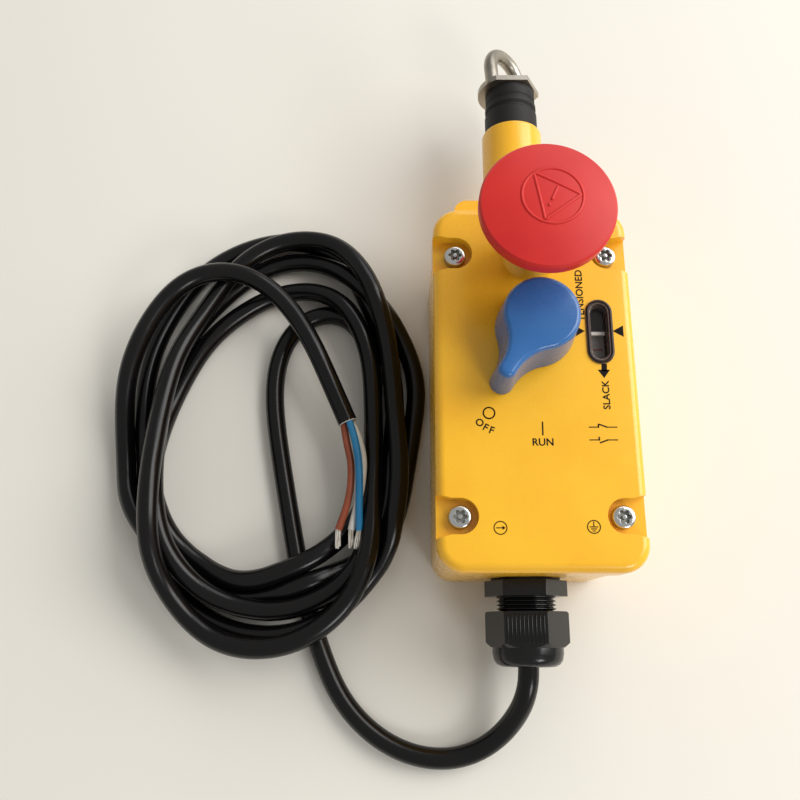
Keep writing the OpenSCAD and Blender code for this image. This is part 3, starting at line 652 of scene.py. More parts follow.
# The coil's turns, each from its right-hand side round by the bottom, the left and the top.
COIL_TURNS = [
    [
        (-52.4, 0), (-52.2, -14), (-54, -28), (-59, -38.5, 5), (-65, -44.5, 8.5), (-71, -50, 10.5),
        (-78, -54, 10.5), (-86.5, -57, 10.5), (-94.5, -58.6, 9), (-103, -58, 6.5), (-111, -55, 4.5),
        (-118, -50), (-123.5, -44), (-127.2, -38, 5), (-130, -31, 8), (-131.4, -23, 10.2),
        (-131.4, -16, 10), (-130.8, -10, 7.5), (-130, -2.5, 4.5), (-128, 6), (-124.8, 14), (-121.5, 22),
        (-116, 31), (-109, 38.5), (-102, 44), (-94, 49), (-87, 51.6), (-81, 52, 4), (-74, 51, 5.5),
        (-67, 47, 9), (-62, 42, 10.5), (-58, 35, 10.5), (-55, 28, 10.5), (-53, 18, 10.5),
        (-52.4, 9, 10.5),
    ],
    [
        (-51.8, -7, 10.5), (-51.8, -19, 10.5), (-51.6, -30, 11.5), (-51.8, -40, 14), (-53, -48, 17.5),
        (-55.4, -57, 17.5), (-59, -64.6, 17.5), (-64.4, -70.5, 17.5), (-71, -75.5, 17.5),
        (-77, -78.8, 17.5), (-84, -80.4, 17), (-92, -81, 16), (-98, -80, 14.5), (-105, -78, 12.5),
        (-111, -74, 12), (-116, -69.2, 12), (-120.5, -63.4, 13.5), (-123.8, -57.5, 16.5),
        (-126, -51, 20.5), (-127, -45, 23), (-127.4, -39, 24.5), (-127.6, -32, 24.5), (-127.8, -25, 24.5),
        (-127.8, -15, 22.5), (-127.6, -4, 19.5), (-127, 5, 17.5), (-126, 13.4, 16), (-123.6, 25, 13.5),
        (-118.9, 35.6, 10.5), (-111, 50, 10.5), (-105, 59, 10.5), (-98, 65, 10.5), (-90, 69.6, 10.5),
        (-80, 71.2, 10.5), (-70, 69.8, 11), (-63.6, 65, 13), (-56.9, 56.2, 16), (-53, 48.5, 17.5),
        (-49.4, 38.8, 16), (-46.8, 28, 13.5), (-45.4, 17, 12), (-44.6, 8, 11),
    ],
    [
        (-43.8, -3, 11), (-43, -11, 12), (-42.6, -18, 14), (-42.6, -25, 15.5), (-43.4, -32, 15.5),
        (-44.8, -38, 14), (-46.4, -43.5, 12), (-48.2, -48, 10), (-50.9, -53.2, 8), (-54.6, -59, 5.5),
        (-59.4, -64.6, 5.5), (-64.8, -69, 8), (-71, -73.4, 10.5), (-77.3, -75.8, 10.5), (-83, -76.6, 9.5),
        (-90, -76.7, 6.5), (-98, -75.7, 4), (-105, -73.6), (-112, -70), (-118, -65.5), (-123, -60.6),
        (-127.2, -54.4), (-130.2, -48), (-132.4, -41), (-133.8, -34), (-134.6, -26), (-135.4, -18),
        (-136.4, -10.5), (-137.8, -1), (-138.4, 8.4), (-138, 16.4), (-136.6, 26), (-133.8, 35),
        (-129.6, 44), (-123.6, 54), (-118, 60.6), (-111.5, 65.4), (-103, 70), (-93, 73), (-82, 73.6),
        (-71.6, 70.4), (-63.2, 62.6), (-57.4, 52.6), (-51.8, 41), (-47.4, 29.6), (-45, 17), (-44, 6),
    ],
    [
        (-44.2, -4), (-44.4, -12, 6), (-45, -20, 8.5), (-46, -28, 10), (-48.6, -36.6, 10.5),
        (-51.4, -44, 10.5), (-54.6, -50, 10.5), (-58.4, -55.2, 10.5), (-63, -60, 10.5), (-69, -64, 10.5),
        (-76.6, -66.8, 10.5), (-83.4, -67.8, 10.5), (-90, -67.8, 9), (-97.4, -67, 9), (-104.3, -65, 10),
        (-110.2, -61.8, 10.5), (-115, -58, 10.5), (-120.2, -52.4, 12), (-123.8, -46.5, 15.5),
        (-126, -40, 17.5), (-127.2, -33.3, 17.5), (-128.4, -26.3, 17.5), (-128.8, -19, 17.2),
        (-129.4, -11.4, 15.5), (-129.4, -3, 13), (-128.8, 5.6, 11), (-128, 14.2, 10), (-125.6, 23.6, 9),
        (-122.6, 31.6, 7), (-119.6, 38.4, 4), (-115.6, 44), (-109, 51), (-101, 58), (-92, 63), (-82, 65),
        (-72, 63, 4), (-63, 58, 6.5), (-56, 51, 10), (-49.5, 43.6, 9.5), (-44.6, 36, 6), (-41, 30.2, 4),
        (-38.3, 24.4), (-36.6, 18), (-35.9, 11),
    ],
    [
        (-36.4, 4), (-37.8, -2), (-39, -8), (-40, -14), (-41, -21), (-42, -28.5), (-43.8, -35.6),
        (-46.5, -41.7), (-50.4, -46.8), (-55.4, -51), (-61, -54.4, 5), (-67, -56.4, 8.5),
        (-72.4, -58.3, 10.5), (-78, -60.4, 10.5), (-84, -62.6, 8), (-91, -64.2, 4.5), (-98.6, -64.4),
        (-105.8, -62.8), (-113, -59.4), (-118.6, -55.5, 4), (-123.4, -51, 6.5), (-127.4, -46.4, 9.5),
        (-131, -42, 10.5), (-135.4, -36, 9), (-139.2, -29.5, 6), (-141.4, -21.4, 4), (-142.6, -13, 5),
        (-143.2, -6, 7), (-143.4, 3, 9.5), (-142.8, 9.6, 12),
    ],
]

# From the coil over its top to the cut end.
TAIL_ROUTE = [
    (-141.4, 17, 15), (-137.6, 27.6, 17.5), (-131.6, 39.6, 17.5), (-123.4, 49.8, 17.5),
    (-113.6, 54.2, 17.5), (-102.8, 54, 17.5), (-91.6, 48.4, 17.4), (-82, 38.4, 17), (-74.4, 26.4, 16.4),
    (-68.6, 14, 15.6), (-63.8, 3.4, 14.8), (-61, -3, 14.4),
]

# Each core, from inside the sheath's cut end to its own end.
CORE_ROUTES = {
    "brown": [
        (-62.6, -2.8, 14), (-61.4, -9.8, 14.2), (-59.8, -17.4, 14.6), (-59.6, -25.2, 15),
        (-60.8, -33, 15.4), (-63.6, -41.6, 15.4),
    ],
    "blue": [
        (-60.6, -2.2, 16.2), (-58.2, -10.2, 17.2), (-56.8, -18.4, 17.4), (-56.4, -26.4, 17.8),
        (-56.4, -34.2, 17.8), (-56.2, -42, 17),
    ],
    "grey": [
        (-60, -2, 13.6), (-57.2, -8.4, 15.2), (-55.3, -16.4, 15.4), (-55.6, -25.2, 15.4),
        (-57.4, -34, 15.4), (-59.1, -41.6, 15.4),
    ],
}

# How far each core's bare end leans across for each step along the lid.
STRAND_LEAN = {"brown": -0.03, "blue": -0.2, "grey": -0.02}


@dataclass
class Lead:
    """The moulded-on lead: sheath, cores and stripped ends. Sizes in millimetres.

    Attributes:
        rack: The materials.
        diameter: Outside of the sheath.
        core: Outside of one core.
        strip: Bare length of each core.
        strands: Strands round the middle one in a bare end.
        length: The lead's real length, in metres; not used.
        step: Distance between the settled route's points.
        rounds: How many rounds of settling the route goes through.
        push: Share of an overlap that one round takes out.
        ease: Share of a kink that one round takes out.
        hold: Share of the way back to the drawn route in one round, along each axis.
        held: How many points stay put at the gland and at the cut end.
        route: The settled route.
    """

    rack: Rack
    diameter: float = 7.0
    core: float = 2.6
    strip: float = 6.5
    strands: int = 6
    length: float = 2.1
    step: float = 4.5
    rounds: int = 260
    push: float = 0.45
    ease: float = 0.5
    hold: Point = (0.03, 0.03, 0.008)
    held: tuple[int, int] = (6, 3)
    route: Array = field(default_factory=lambda: np.zeros((0, 3)))

    def settle(self) -> None:
        """Lays the drawn route down so that no run of it lies in another."""
        lying = self.diameter / 2
        drawn = [*LEAD_ROUTE, *(p for turn in COIL_TURNS for p in turn), *TAIL_ROUTE]
        way = smooth_route([p if len(p) == 3 else (*p, lying) for p in drawn], self.step)
        wanted = way.copy()
        count = len(way)
        near = np.abs(np.subtract.outer(np.arange(count), np.arange(count))) < 4 * self.diameter / self.step
        free = np.ones((count, 1))
        free[:self.held[0]] = 0
        free[-self.held[1]:] = 0
        for _ in range(self.rounds):
            apart = way[:, None] - way[None]
            distance = np.linalg.norm(apart, axis=2) + near * 1e3
            short = np.clip(self.diameter - distance, 0, None)
            push = (apart * (short / distance)[..., None]).sum(1) * self.push
            bend = np.zeros_like(way)
            bend[2:-2] = (4 * (way[1:-3] + way[3:-1]) - way[:-4] - way[4:]) / 6 - way[2:-2]
            pull = (wanted - way) * np.array(self.hold)
            way = way + free * (push + self.ease * bend + pull)
            way[:, 2] = np.maximum(way[:, 2], lying)
        self.route = smooth_route(way, self.step / 2)
        distance = np.linalg.norm(way[:, None] - way[None], axis=2) + near * 1e3
        moved = np.linalg.norm(way - wanted, axis=1).max()
        LOG.info("lead settled: nearest runs %.2f mm apart, moved %.2f mm at most", distance.min(), moved)

    def bare_end(self, name: str, route: Array, lean: float) -> bpy.types.Object:
        """A core's bare strands, slightly spread at the tip.

        Args:
            name: The piece's name.
            route: The core's route, whose end they stand out of.
            lean: How far they lean across for each step along the lid.

        Returns:
            The strands as one mesh.
        """
        along, side, lift = axes(np.array((lean, -1.0, 0.0)))
        mould = Mould()
        thick = self.core * 0.125
        for k in range(self.strands + 1):
            turn = 2 * math.pi * k / self.strands
            reach = 0.0 if k == self.strands else self.core * 0.27
            rings = []
            for share in np.linspace(-0.12, 1, 9):
                swing = turn + 1.1 * share
                spread = reach * (1 + 0.35 * max(0.0, share) ** 2 * math.cos(3 * turn + 1))
                centre = route[-1] + along * self.strip * share * (1 - 0.06 * (k % 3))
                centre = centre + spread * (math.cos(swing) * side + 0.7 * math.sin(swing) * lift)
                rings.append(hoop(centre, side, lift, thick, 8))
            mould.loft(rings)
        return mould.finish(name, self.rack["tinned_copper"], smooth=True)

    def cut_face(self) -> bpy.types.Object:
        """The pale cut edge round the sheath's end.

        Returns:
            The ring as a mesh.
        """
        end = self.route[-1]
        along, side, lift = axes(end - self.route[-3])
        outer = self.diameter / 2
        profile = ((-0.1, -0.3), (0.02, 0.0), (-0.1, 0.16), (-0.7, 0.1), (-0.8, -0.3))
        mould = Mould()
        rings = [hoop(end + along * rise, side, lift, outer + out, 28) for out, rise in profile]
        mould.loft(rings, capped=False)
        return mould.finish("sheath_cut", self.rack["grey_insulation"], smooth=True)

    def build(self) -> None:
        self.settle()
        pieces = [mount(self.cut_face(), Body.HOUSING)]
        for colour, points in CORE_ROUTES.items():
            way = smooth_route(points, 1.0)
            core = tube_curve(f"{colour}_core", way, self.core, self.rack[f"{colour}_insulation"])
            mount(core, Body.HOUSING)
            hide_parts(f"core_{colour}")
            strands = self.bare_end(f"{colour}_strands", way, STRAND_LEAN[colour])
            mount(strands, Body.HOUSING)
            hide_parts("core_ends")
            pieces += [core, strands]
        sheath = tube_curve("lead", self.route, self.diameter, self.rack["black_sheath"])
        mount(sheath, Body.HOUSING)
        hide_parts("lead_run", "lead_coil", "lead_tail")
        run = np.linalg.norm(np.diff(self.route, axis=0), axis=1).sum() * MM
        LOG.info("lead measures %.3f m", run)
        tuple(self.route[0] * MM)
        self.diameter * MM


# ---------------------------------------------------------------- lid marks


@dataclass
class LidMarks:
    """Generic marks printed on the lid. Sizes in millimetres, heights above the lid.

    Attributes:
        rack: The materials.
        top: Height of the lid's face.
        ink: Thickness of the print.
        line: Width of a thin printed line.
        bold: How far the letters' strokes are spread.
    """

    rack: Rack
    top: float
    ink: float = 0.06
    line: float = 0.4
    bold: float = 0.05

    def word(self, mould: Mould, text: str, middle: Flat, height: float, turn: float = 0.0) -> None:
        """Prints a word.

        Args:
            mould: Where it goes.
            text: The word.
            middle: The middle of the word.
            height: The height of its capitals.
            turn: Turn in degrees, anticlockwise.
        """
        data = bpy.data.curves.new("word", "FONT")
        data.body = text
        data.size = height * MM / 0.72
        data.align_x = "CENTER"
        data.align_y = "CENTER"
        data.space_character = 1.02
        data.extrude = self.ink / 2 * MM
        data.offset = self.bold * MM
        data.resolution_u = 4
        thing = put("word", data)
        thing.location = (middle[0] * MM, middle[1] * MM, (self.top + self.ink / 2) * MM)
        thing.rotation_euler = (0, 0, math.radians(turn))
        bpy.context.view_layer.update()
        depsgraph = bpy.context.evaluated_depsgraph_get()
        printed = bpy.data.meshes.new_from_object(thing.evaluated_get(depsgraph))
        printed.transform(thing.matrix_world)
        mould.mesh.from_mesh(printed)
        bpy.data.objects.remove(thing)
        bpy.data.curves.remove(data)
        bpy.data.meshes.remove(printed)

    def lines(
        self, mould: Mould, *paths: Sequence[Flat], width: float | None = None, closed: bool = False
    ) -> None:
        """Prints lines of even width.

        Args:
            mould: Where they go.
            paths: The points of each line.
            width: Their width, if not the thin line's.
            closed: Whether each joins up at its ends.
        """
        for path in paths:
            mould.stroke(path, width or self.line, self.top, self.top + self.ink, closed)

    def ring(self, mould: Mould, middle: Flat, radius: float, width: float) -> None:
        """Prints a circle."""
        points = [
            (middle[0] + radius * math.cos(a), middle[1] + radius * math.sin(a))
            for a in around(40)
        ]
        self.lines(mould, points, width=width, closed=True)

    def shape(self, mould: Mould, *corners: Flat) -> None:
        """Prints a filled shape."""
        mould.plate(corners, self.top, self.top + self.ink)

    def positions(self, mould: Mould) -> None:
        """The knob's two positions."""
        self.ring(mould, (-15.2, -11.1), 1.75, 0.42)
        letters = (("O", -18.2, -14.2, -38), ("F", -16.4, -15.7, -30), ("F", -14.6, -16.6, -20))
        for letter, x, y, turn in letters:
            self.word(mould, letter, (x, y), 2.3, turn)
        self.lines(mould, [(1.07, -13.9), (1.0, -18)], width=0.42)
        self.word(mould, "RUN", (0.94, -20.3), 2.3)

    def tension(self, mould: Mould) -> None:
        """The marks round the tension window."""
        self.shape(mould, (24.65, 15.7), (28, 13.8), (28, 17.6))
        self.shape(mould, (15.8, 15.7), (12.6, 17.6), (12.6, 13.8))
        self.lines(mould, [(21.2, 4.4), (21.1, 2.8)], width=1.7)
        self.shape(mould, (20.94, 0.2), (22.9, 2.9), (19.1, 2.9))
        self.word(mould, "SLACK", (21.25, -5.3), 2.2, 90)
        self.word(mould, "TENSIONED", (15.0, 27.9), 2.3, 90)

    def contacts(self, mould: Mould) -> None:
        """The two contacts' circuit symbols."""
        for y, side in ((-15.5, 1), (-19.5, -1)):
            self.lines(mould, [(15.2, y), (18.1, y)], [(20.7, y), (23.75, y)], width=0.3)
            fixed, moving = [(18.1, y - 0.1), (18.1, y + 0.9)], [(18.3, y + 0.9 * side), (20.7, y)]
            self.lines(mould, fixed, moving, width=0.42)

    def wiring(self, mould: Mould) -> None:
        """The circled arrow and the earth symbol beside the lower screws."""
        x, y = -12.85, -46.1
        self.ring(mould, (x, y), 1.9, 0.28)
        self.lines(mould, [(x - 1.2, y), (x + 1, y)], width=0.28)
        self.shape(mould, (x + 1.5, y), (x + 0.6, y + 0.6), (x + 0.6, y - 0.6))
        x, y = 14.75, -45.8
        self.ring(mould, (x, y), 1.9, 0.28)
        sizes = ((1.2, 0), (0.8, 0.6), (0.4, 1.2))
        bars = ([(x - half, y - down), (x + half, y - down)] for half, down in sizes)
        self.lines(mould, [(x, y + 1.5), (x, y)], *bars, width=0.28)

    def build(self) -> None:
        """Prints every mark."""
        mould = Mould()
        for group in (self.positions, self.tension, self.contacts, self.wiring):
            group(mould)
        mount(mould.finish("lid_marks", self.rack["printing_ink"]), Body.HOUSING)


# ---------------------------------------------------------------- the button's raised sign


@dataclass
class HeadEmboss:
    """The ring and triangle moulded in the button's face. Sizes in millimetres.

    Attributes:
        rack: The materials.
        middle: The button's axis across and along the lid.
        radius: Radius of the head.
        rim_top: Height of the head's upper rim.
        dome: Rise of its face.
        lift: How far the sign stands proud.
        width: Width of its lines.
        ring: Radius of the ring.
        offset: How far the ring sits off the axis.
        triangle: The triangle's corners about the ring's middle.
        stroke: The long stroke inside it.
        dot: The short one.
    """

    rack: Rack
    middle: Flat
    radius: float
    rim_top: float
    dome: float
    lift: float = 0.24
    width: float = 1.0
    ring: float = 8.85
    offset: Flat = (1.0, 1.8)
    triangle: tuple[Flat, ...] = ((-5.2, 7.5), (8.2, 0.3), (-2.6, -7.8))
    stroke: tuple[Flat, ...] = ((1.6, 2.8), (-0.5, -1.7))
    dot: tuple[Flat, ...] = ((-1.1, -2.9), (-1.4, -3.5))

    def face(self, x: float, y: float) -> float:
        """Height of the domed face over a point.

        Args:
            x: Distance from the axis across the lid.
            y: Distance from the axis along it.

        Returns:
            The height in millimetres.
        """
        ball = (self.radius**2 + self.dome**2) / (2 * self.dome)
        return self.rim_top + self.dome - ball + math.sqrt(ball**2 - x * x - y * y)

    def ridge(self, mould: Mould, line: Sequence[Flat], closed: bool) -> None:
        """A rounded ridge that follows the dome.

        Args:
            mould: Where it goes.
            line: Points about the axis.
            closed: Whether it joins up at its ends.
        """
        points = [Vector(p) for p in line]
        count = len(points)
        rings = []
        for k, point in enumerate(points):
            before = points[k - 1] if closed or k else point
            after = points[(k + 1) % count] if closed or k + 1 < count else point
            along = (after - before).normalized()
            across = Vector((-along.y, along.x))
            ring = []
            for share, rise in ((-0.5, -0.2), (-0.34, 0.7), (0, 1.0), (0.34, 0.7), (0.5, -0.2)):
                spot = point + across * self.width * share
                height = self.face(*spot) + self.lift * rise
                ring.append((spot.x + self.middle[0], spot.y + self.middle[1], height))
            rings.append(ring)
        if closed:
            rings.append(rings[0])
        mould.loft(rings, capped=not closed)

    @staticmethod
    def along(*corners: Flat, step: float = 0.6) -> list[Flat]:
        """Cuts the sides of a shape into short steps.

        Args:
            corners: Its corners in order.
            step: The length of a step.

        Returns:
            The points.
        """
        points = []
        for a, b in zip(corners, corners[1:], strict=False):
            count = max(2, round((Vector(b) - Vector(a)).length / step))
            points += [tuple(Vector(a).lerp(Vector(b), k / count)) for k in range(count)]
        return [*points, corners[-1]]

    def build(self) -> None:
        """Moulds the sign."""
        mould = Mould()
        across, up = self.offset
        ring = [(across + self.ring * math.cos(a), up + self.ring * math.sin(a)) for a in around(72)]
        self.ridge(mould, ring, True)
        sides = zip(self.triangle, [*self.triangle[1:], self.triangle[0]], strict=True)
        for ends in (*sides, self.stroke, self.dot):
            self.ridge(mould, self.along(*((across + x, up + y) for x, y in ends)), False)
        sign = mould.finish("button_sign", self.rack["red_plastic"], smooth=True)
        mount(sign, Body.BUTTON)


# ---------------------------------------------------------------- the tension window


@dataclass
class WindowRim:
    """The window's rim and skirt and the carrier's marks below it. Sizes in millimetres.

    Attributes:
        rack: The materials.
        middle: The window's middle across and along the lid.
        top: Height of the frame's upper face.
        width: Width of the window over the rim's middle line.
        length: Its length over the same line.
        band: Width of the rim.
        rise: Height of the rim above the frame.
        slot: Width and length of the slot below the lens.
        skin: Thickness of the skirt that lines the slot, in the rim's brown painted lighter as painted
            light on the slot's wall.
        sink: Depth of the skirt's upper and lower edges below the frame's face.
        line: Place of the white line's middle, across and along the lid, and its width.
        half_line: Half the white line's length.
        mark: The red mark's ends, counted from the white line's middle.
        ink: Width and thickness of the red mark.
    """

    rack: Rack
    middle: Flat
    top: float
    width: float = 7.2
    length: float = 20.2
    band: float = 1.0
    rise: float = 0.25
    slot: Flat = (5.58, 17.38)
    skin: float = 0.18
    sink: Flat = (2.05, 2.92)
    line: Point = (20.5, 15.7, 0.8)
    half_line: float = 2.05
    mark: tuple[Flat, Flat] = ((-1.6, -4.9), (1.5, -4.7))
    ink: Flat = (0.5, 0.06)

    @staticmethod
    def outline(width: float, length: float) -> list[tuple[Flat, Flat]]:
        """A long rounded line about the window's middle.

        Args:
            width: Its width.
            length: Its length.

        Returns:
            Points and their outward directions.
        """
        radius = width / 2
        half = length / 2 - radius
        line = []
        for k in range(48):
            turn = 2 * math.pi * (k + 0.5) / 48
            out = (math.cos(turn), math.sin(turn))
            line.append(((radius * out[0], radius * out[1] + math.copysign(half, out[1])), out))
        return line

    def band_round(self, mould: Mould, size: Flat, profile: Sequence[Flat]) -> None:
        """Sweeps a profile round the window.

        Args:
            mould: Where it goes.
            size: Width and length of the line it follows.
            profile: Distances outward and heights above the frame's face.
        """
        across, up = self.middle
        rings = [
            [(across + x + out_x * off, up + y + out_y * off, self.top + lift) for off, lift in profile]
            for (x, y), (out_x, out_y) in self.outline(*size)
        ]
        mould.loft([*rings, rings[0]], capped=False)

    def build(self) -> None:
        """Moulds the rim and the skirt and lays the carrier's marks."""
        half, rise = self.band / 2, self.rise
        mould = Mould()
        self.band_round(mould, (self.width, self.length), (
            (half, -0.1), (0.9 * half, 0.5 * rise), (0.5 * half, 0.85 * rise), (0, rise),
            (-0.5 * half, 0.85 * rise), (-0.9 * half, 0.4 * rise), (-half, -0.2),
        ))
        rim = mould.finish("window_rim", self.rack["window_brown"], smooth=True)
        mount(rim, Body.HOUSING)
        skirt = Mould()
        high, low = self.sink
        self.band_round(skirt, self.slot, ((0, -high), (-self.skin, -high), (-self.skin, -low), (0, -low)))
        # The skirt in the lighter brown, as painted light on the slot's wall.
        mount(skirt.finish("window_skirt", self.rack["window_brown_painted_lit"]), Body.HOUSING)
        x, y, width = self.line
        line = Mould()
        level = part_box("tension_line")[1].z / MM
        line.stroke([(x - self.half_line, y), (x + self.half_line, y)], width, level - 0.05, level + 0.1)
        mount(line.finish("line_face", self.rack["white_plastic"]), Body.ROD)
        mark = Mould()
        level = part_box("tension_carrier")[1].z / MM
        width, rise = self.ink
        mark.stroke([(x + dx, y + dy) for dx, dy in self.mark], width, level - 0.05, level + rise)
        mount(mark.finish("carrier_mark", self.rack["red_ink"]), Body.ROD)


# ---------------------------------------------------------------- gland ribs


@dataclass
class GripRibs:
    """The fine ribs along every other face of the dome nut. Sizes in millimetres.

    Attributes:
        rack: The materials.
        axis_height: Height of the gland's axis.
        flats: Distance across the flats.
        face: Place of the nut's inner face along Y.
        near: Distance from that face to the ribs' inner ends.
        far: Distance from it to their outer ends.
        turn: Turn of the hexagon in degrees.
        count: Ribs on each face.
        pitch: Distance between them.
        rise: How far they stand proud.
    """

    rack: Rack
    axis_height: float
    flats: float
    face: float
    near: float = 1.0
    far: float = 10.4
    turn: float = 10.0
    count: int = 10
    pitch: float = 1.28
    rise: float = 0.42

    def build(self) -> None:
        """Moulds the ribs on three faces."""
        mould = Mould()
        start, end = self.face - self.near, self.face - self.far
        shoulder = self.rise * 0.75
        profile = ((-0.26, 0), (-0.18, shoulder), (0, self.rise), (0.18, shoulder), (0.26, 0))
        base = self.flats / 2 - 0.05
        for side in range(3):
            lean = Matrix.Rotation(math.radians(-self.turn + 120 * side), 3, "Y")
            for k in range(self.count):
                x = (k - (self.count - 1) / 2) * self.pitch
                rings = []
                for y, scale in ((start, 0.2), (start - 0.5, 1), (end + 0.5, 1), (end, 0.2)):
                    ring = [lean @ Vector((x + dx, y, base + dz * scale)) for dx, dz in profile]
                    rings.append([(p.x, p.y, p.z + self.axis_height) for p in ring])
                mould.loft(rings)
        mount(mould.finish("nut_ribs", self.rack["black_nylon"], smooth=True), Body.HOUSING)


# ---------------------------------------------------------------- room


@dataclass
class Room:
    """The floor, the lamps and the camera. Sizes in metres.

    Attributes:
        aim: The point that the lamps face.
        reach: Half the floor's side.
    """

    aim: Point = (-0.03, 0.0, 0.0)
    reach: float = 3.0

    def camera(self) -> None:
        """Places the camera."""
        data = bpy.data.cameras.new("camera")
        data.lens = 36.72
        data.sensor_width = 36
        data.clip_start = 0.01
        camera = put("camera", data)
        camera.location = (-0.0439, -0.0754, 0.2999)
        camera.rotation_euler = tuple(math.radians(a) for a in (15.82, -0.34, 0))
        bpy.context.scene.camera = camera

    def lamp(self, name: str, place: Point, size: float, power: float, colour: Colour) -> None:
        """Hangs one soft square lamp that points at the switch.

        Args:
            name: The lamp's name.
            place: Where it hangs, in metres.
            size: Its side in metres.
            power: Its power in watts.
            colour: Its colour.
        """
        data = bpy.data.lights.new(name, "AREA")
        data.size = size
        data.energy = power
        data.color = colour
        lamp = put(name, data)
        lamp.location = place
        lamp.rotation_euler = (Vector(self.aim) - Vector(place)).to_track_quat("-Z", "Y").to_euler()

    def floor(self) -> None:
        """Lays the pale floor."""
        mould = Mould()
        far = self.reach
        corners = ((-far, -far, 0), (far, -far, 0), (far, far, 0), (-far, far, 0))
        mould.mesh.faces.new([mould.mesh.verts.new(corner) for corner in corners])
        surface = Surface("pale_floor")
        tone = surface.noise(0.25, 1.0)
        piece = mould.finish("floor", surface.dress(
            Base_Color=surface.mix(tone, linear((240, 236, 226)), linear((236, 232, 222))),
            Roughness=0.8,
            Specular_IOR_Level=0.2,
        ))

    def light(self) -> None:
        """Hangs the lamps and sets the room's own light."""
        self.lamp("key", (1.2, 0.5, 1.03), 1.35, 25.6, (1.0, 0.995, 0.985))
        self.lamp("top", (0.3, 0.9, 0.62), 0.6, 2.2, (0.98, 0.99, 1.0))
        self.lamp("window", (0.36, -0.56, 0.5), 0.24, 1.3, (1.0, 1.0, 1.0))
        world = bpy.data.worlds.new("room")
        world.use_nodes = True
        background = world.node_tree.nodes["Background"]
        background.inputs["Color"].default_value = (1, 0.99, 0.97, 1)
        background.inputs["Strength"].default_value = 0.38
        bpy.context.scene.world = world
        bpy.context.scene.view_settings.view_transform = "Standard"


# ---------------------------------------------------------------- the frame's nodes

NODE_FINISHES = {
    "yellow_enamel": ("housing", "lid", "rope_barrel"),
    "black_rubber": ("lid_gasket", "button_seal", "reset_seal", "gland_washer", "gland_insert"),
    "zinc_plate": ("button_stem", "spring_cup", "reset_spindle"),
    "satin_stainless": ("rope_eye", "pull_rod"),
    "sintered_bronze": ("barrel_bush",),
    "grey_nylon": ("tension_carrier",),
    "black_nylon": ("tension_slider", "contact_blocks", "gland_body", "gland_nut"),
    "white_plastic": ("tension_line", "button_yoke", "reset_cam", "contact_plungers", "terminal_block"),
    # The frame's inner wall in the lighter brown, as painted light.
    "window_brown_painted_lit": ("window_frame",),
    "clear_lens": ("window_lens",),
    "red_plastic": ("button_head",),
    "blue_plastic": ("reset_knob",),
    "brass": ("terminal_screws", "earth_screw"),
}

# Width of the broken edges of the nodes that show, in millimetres.
BROKEN_EDGES = {
    "lid": 0.35,
    "housing": 0.35,
    "gland_nut": 0.35,
    "gland_body": 0.25,
    "lid_screws": 0.15,
    "rope_eye": 0.3,
    "window_frame": 0.25,
}


def dress_nodes(nodes: dict[str, bpy.types.Object], rack: Rack) -> None:
    """Gives every frame node that stays its finish.

    Args:
        nodes: The frame's nodes by name.
        rack: The materials.
    """
    for finish, names in NODE_FINISHES.items():
        for name in names:
            paint_node(nodes[name], rack[finish], BROKEN_EDGES.get(name, 0.0))
            LOG.info("%s in %s", name, finish)


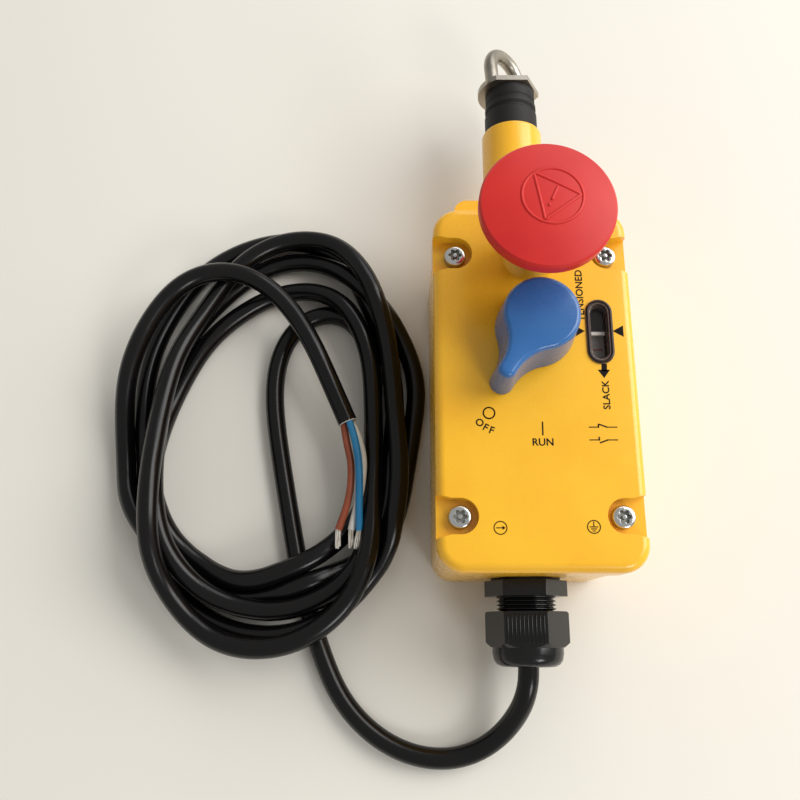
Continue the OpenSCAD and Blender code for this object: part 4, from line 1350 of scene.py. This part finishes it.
@dataclass(frozen=True)
class Flexing:
    """A spring or boot made from its node's surface; the bodies for its two ends are only logged.

    Attributes:
        node: The frame's node it stands for.
        name: The piece's name.
        finish: The material's name.
        slot: Not used.
        near: Body given for the lower end of its box, only logged.
        far: Body given for the upper end, only logged.
        axis: 1 when it works along the rope, 2 when it works across the lid.
    """

    node: str
    name: str
    finish: str
    slot: str
    near: Body
    far: Body
    axis: int

    def build(self, nodes: dict[str, bpy.types.Object], rack: Rack) -> None:
        """Makes the piece from the node's own surface.

        Args:
            nodes: The frame's nodes by name.
            rack: The materials.
        """
        low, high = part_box(self.node)
        mesh = nodes[self.node].data.copy()
        coat(mesh, rack[self.finish])
        work = bmesh.new()
        work.from_mesh(mesh)
        bmesh.ops.remove_doubles(work, verts=work.verts, dist=WELD_GAP)
        work.to_mesh(mesh)
        work.free()
        mesh.set_sharp_from_angle(angle=math.radians(CREASE))
        piece = put(self.name, mesh)
        start, end = (low + high) / 2, (low + high) / 2
        start[self.axis], end[self.axis] = low[self.axis], high[self.axis]
        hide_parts(self.node)
        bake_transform(piece)
        LOG.info("%s between %s and %s", piece.name, self.near.value, self.far.value)


FLEXING = (
    Flexing("rope_gaiter", "gaiter_boot", "black_rubber", "black_rubber", Body.HOUSING, Body.ROD, 1),
    Flexing("tension_spring", "rope_spring", "spring_wire", "spring_steel", Body.ROD, Body.HOUSING, 1),
    Flexing("button_spring", "stop_spring", "spring_wire", "spring_steel", Body.HOUSING, Body.BUTTON, 2),
)


def middle_of(node: str) -> Flat:
    """Middle of a node's box across and along the lid, in millimetres."""
    low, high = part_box(node)
    return (low.x + high.x) / 2 / MM, (low.y + high.y) / 2 / MM


def main() -> None:
    """Builds the scene."""
    logging.basicConfig(level=logging.INFO, format="%(name)s: %(message)s")
    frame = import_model()
    rack = Rack()
    room = Room()
    room.camera()
    Lead(rack).build()
    dress_nodes(frame["nodes"], rack)
    # Zinc plate with painted shade darkening the screws' drive recesses.
    screws = PlateWithPaintedRecessShade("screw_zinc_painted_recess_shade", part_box("lid_screws")[1].z).make()
    paint_node(frame["nodes"]["lid_screws"], screws, BROKEN_EDGES["lid_screws"])
    for flexing in FLEXING:
        flexing.build(frame["nodes"], rack)
    LidMarks(rack, top=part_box("lid_gasket")[1].z / MM + LID_RISE).build()
    low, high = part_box("button_head")
    HeadEmboss(
        rack,
        middle=middle_of("button_head"),
        radius=(high.x - low.x) / 2 / MM - DOME_EDGE,
        rim_top=high.z / MM - DOME_RISE,
        dome=DOME_RISE,
    ).build()
    WindowRim(rack, middle=middle_of("window_frame"), top=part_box("window_frame")[1].z / MM).build()
    low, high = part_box("gland_nut")
    GripRibs(rack, axis_height=(low.z + high.z) / 2 / MM, flats=24.0, face=high.y / MM).build()
    room.floor()
    room.light()


if __name__ == "__main__":
    main()
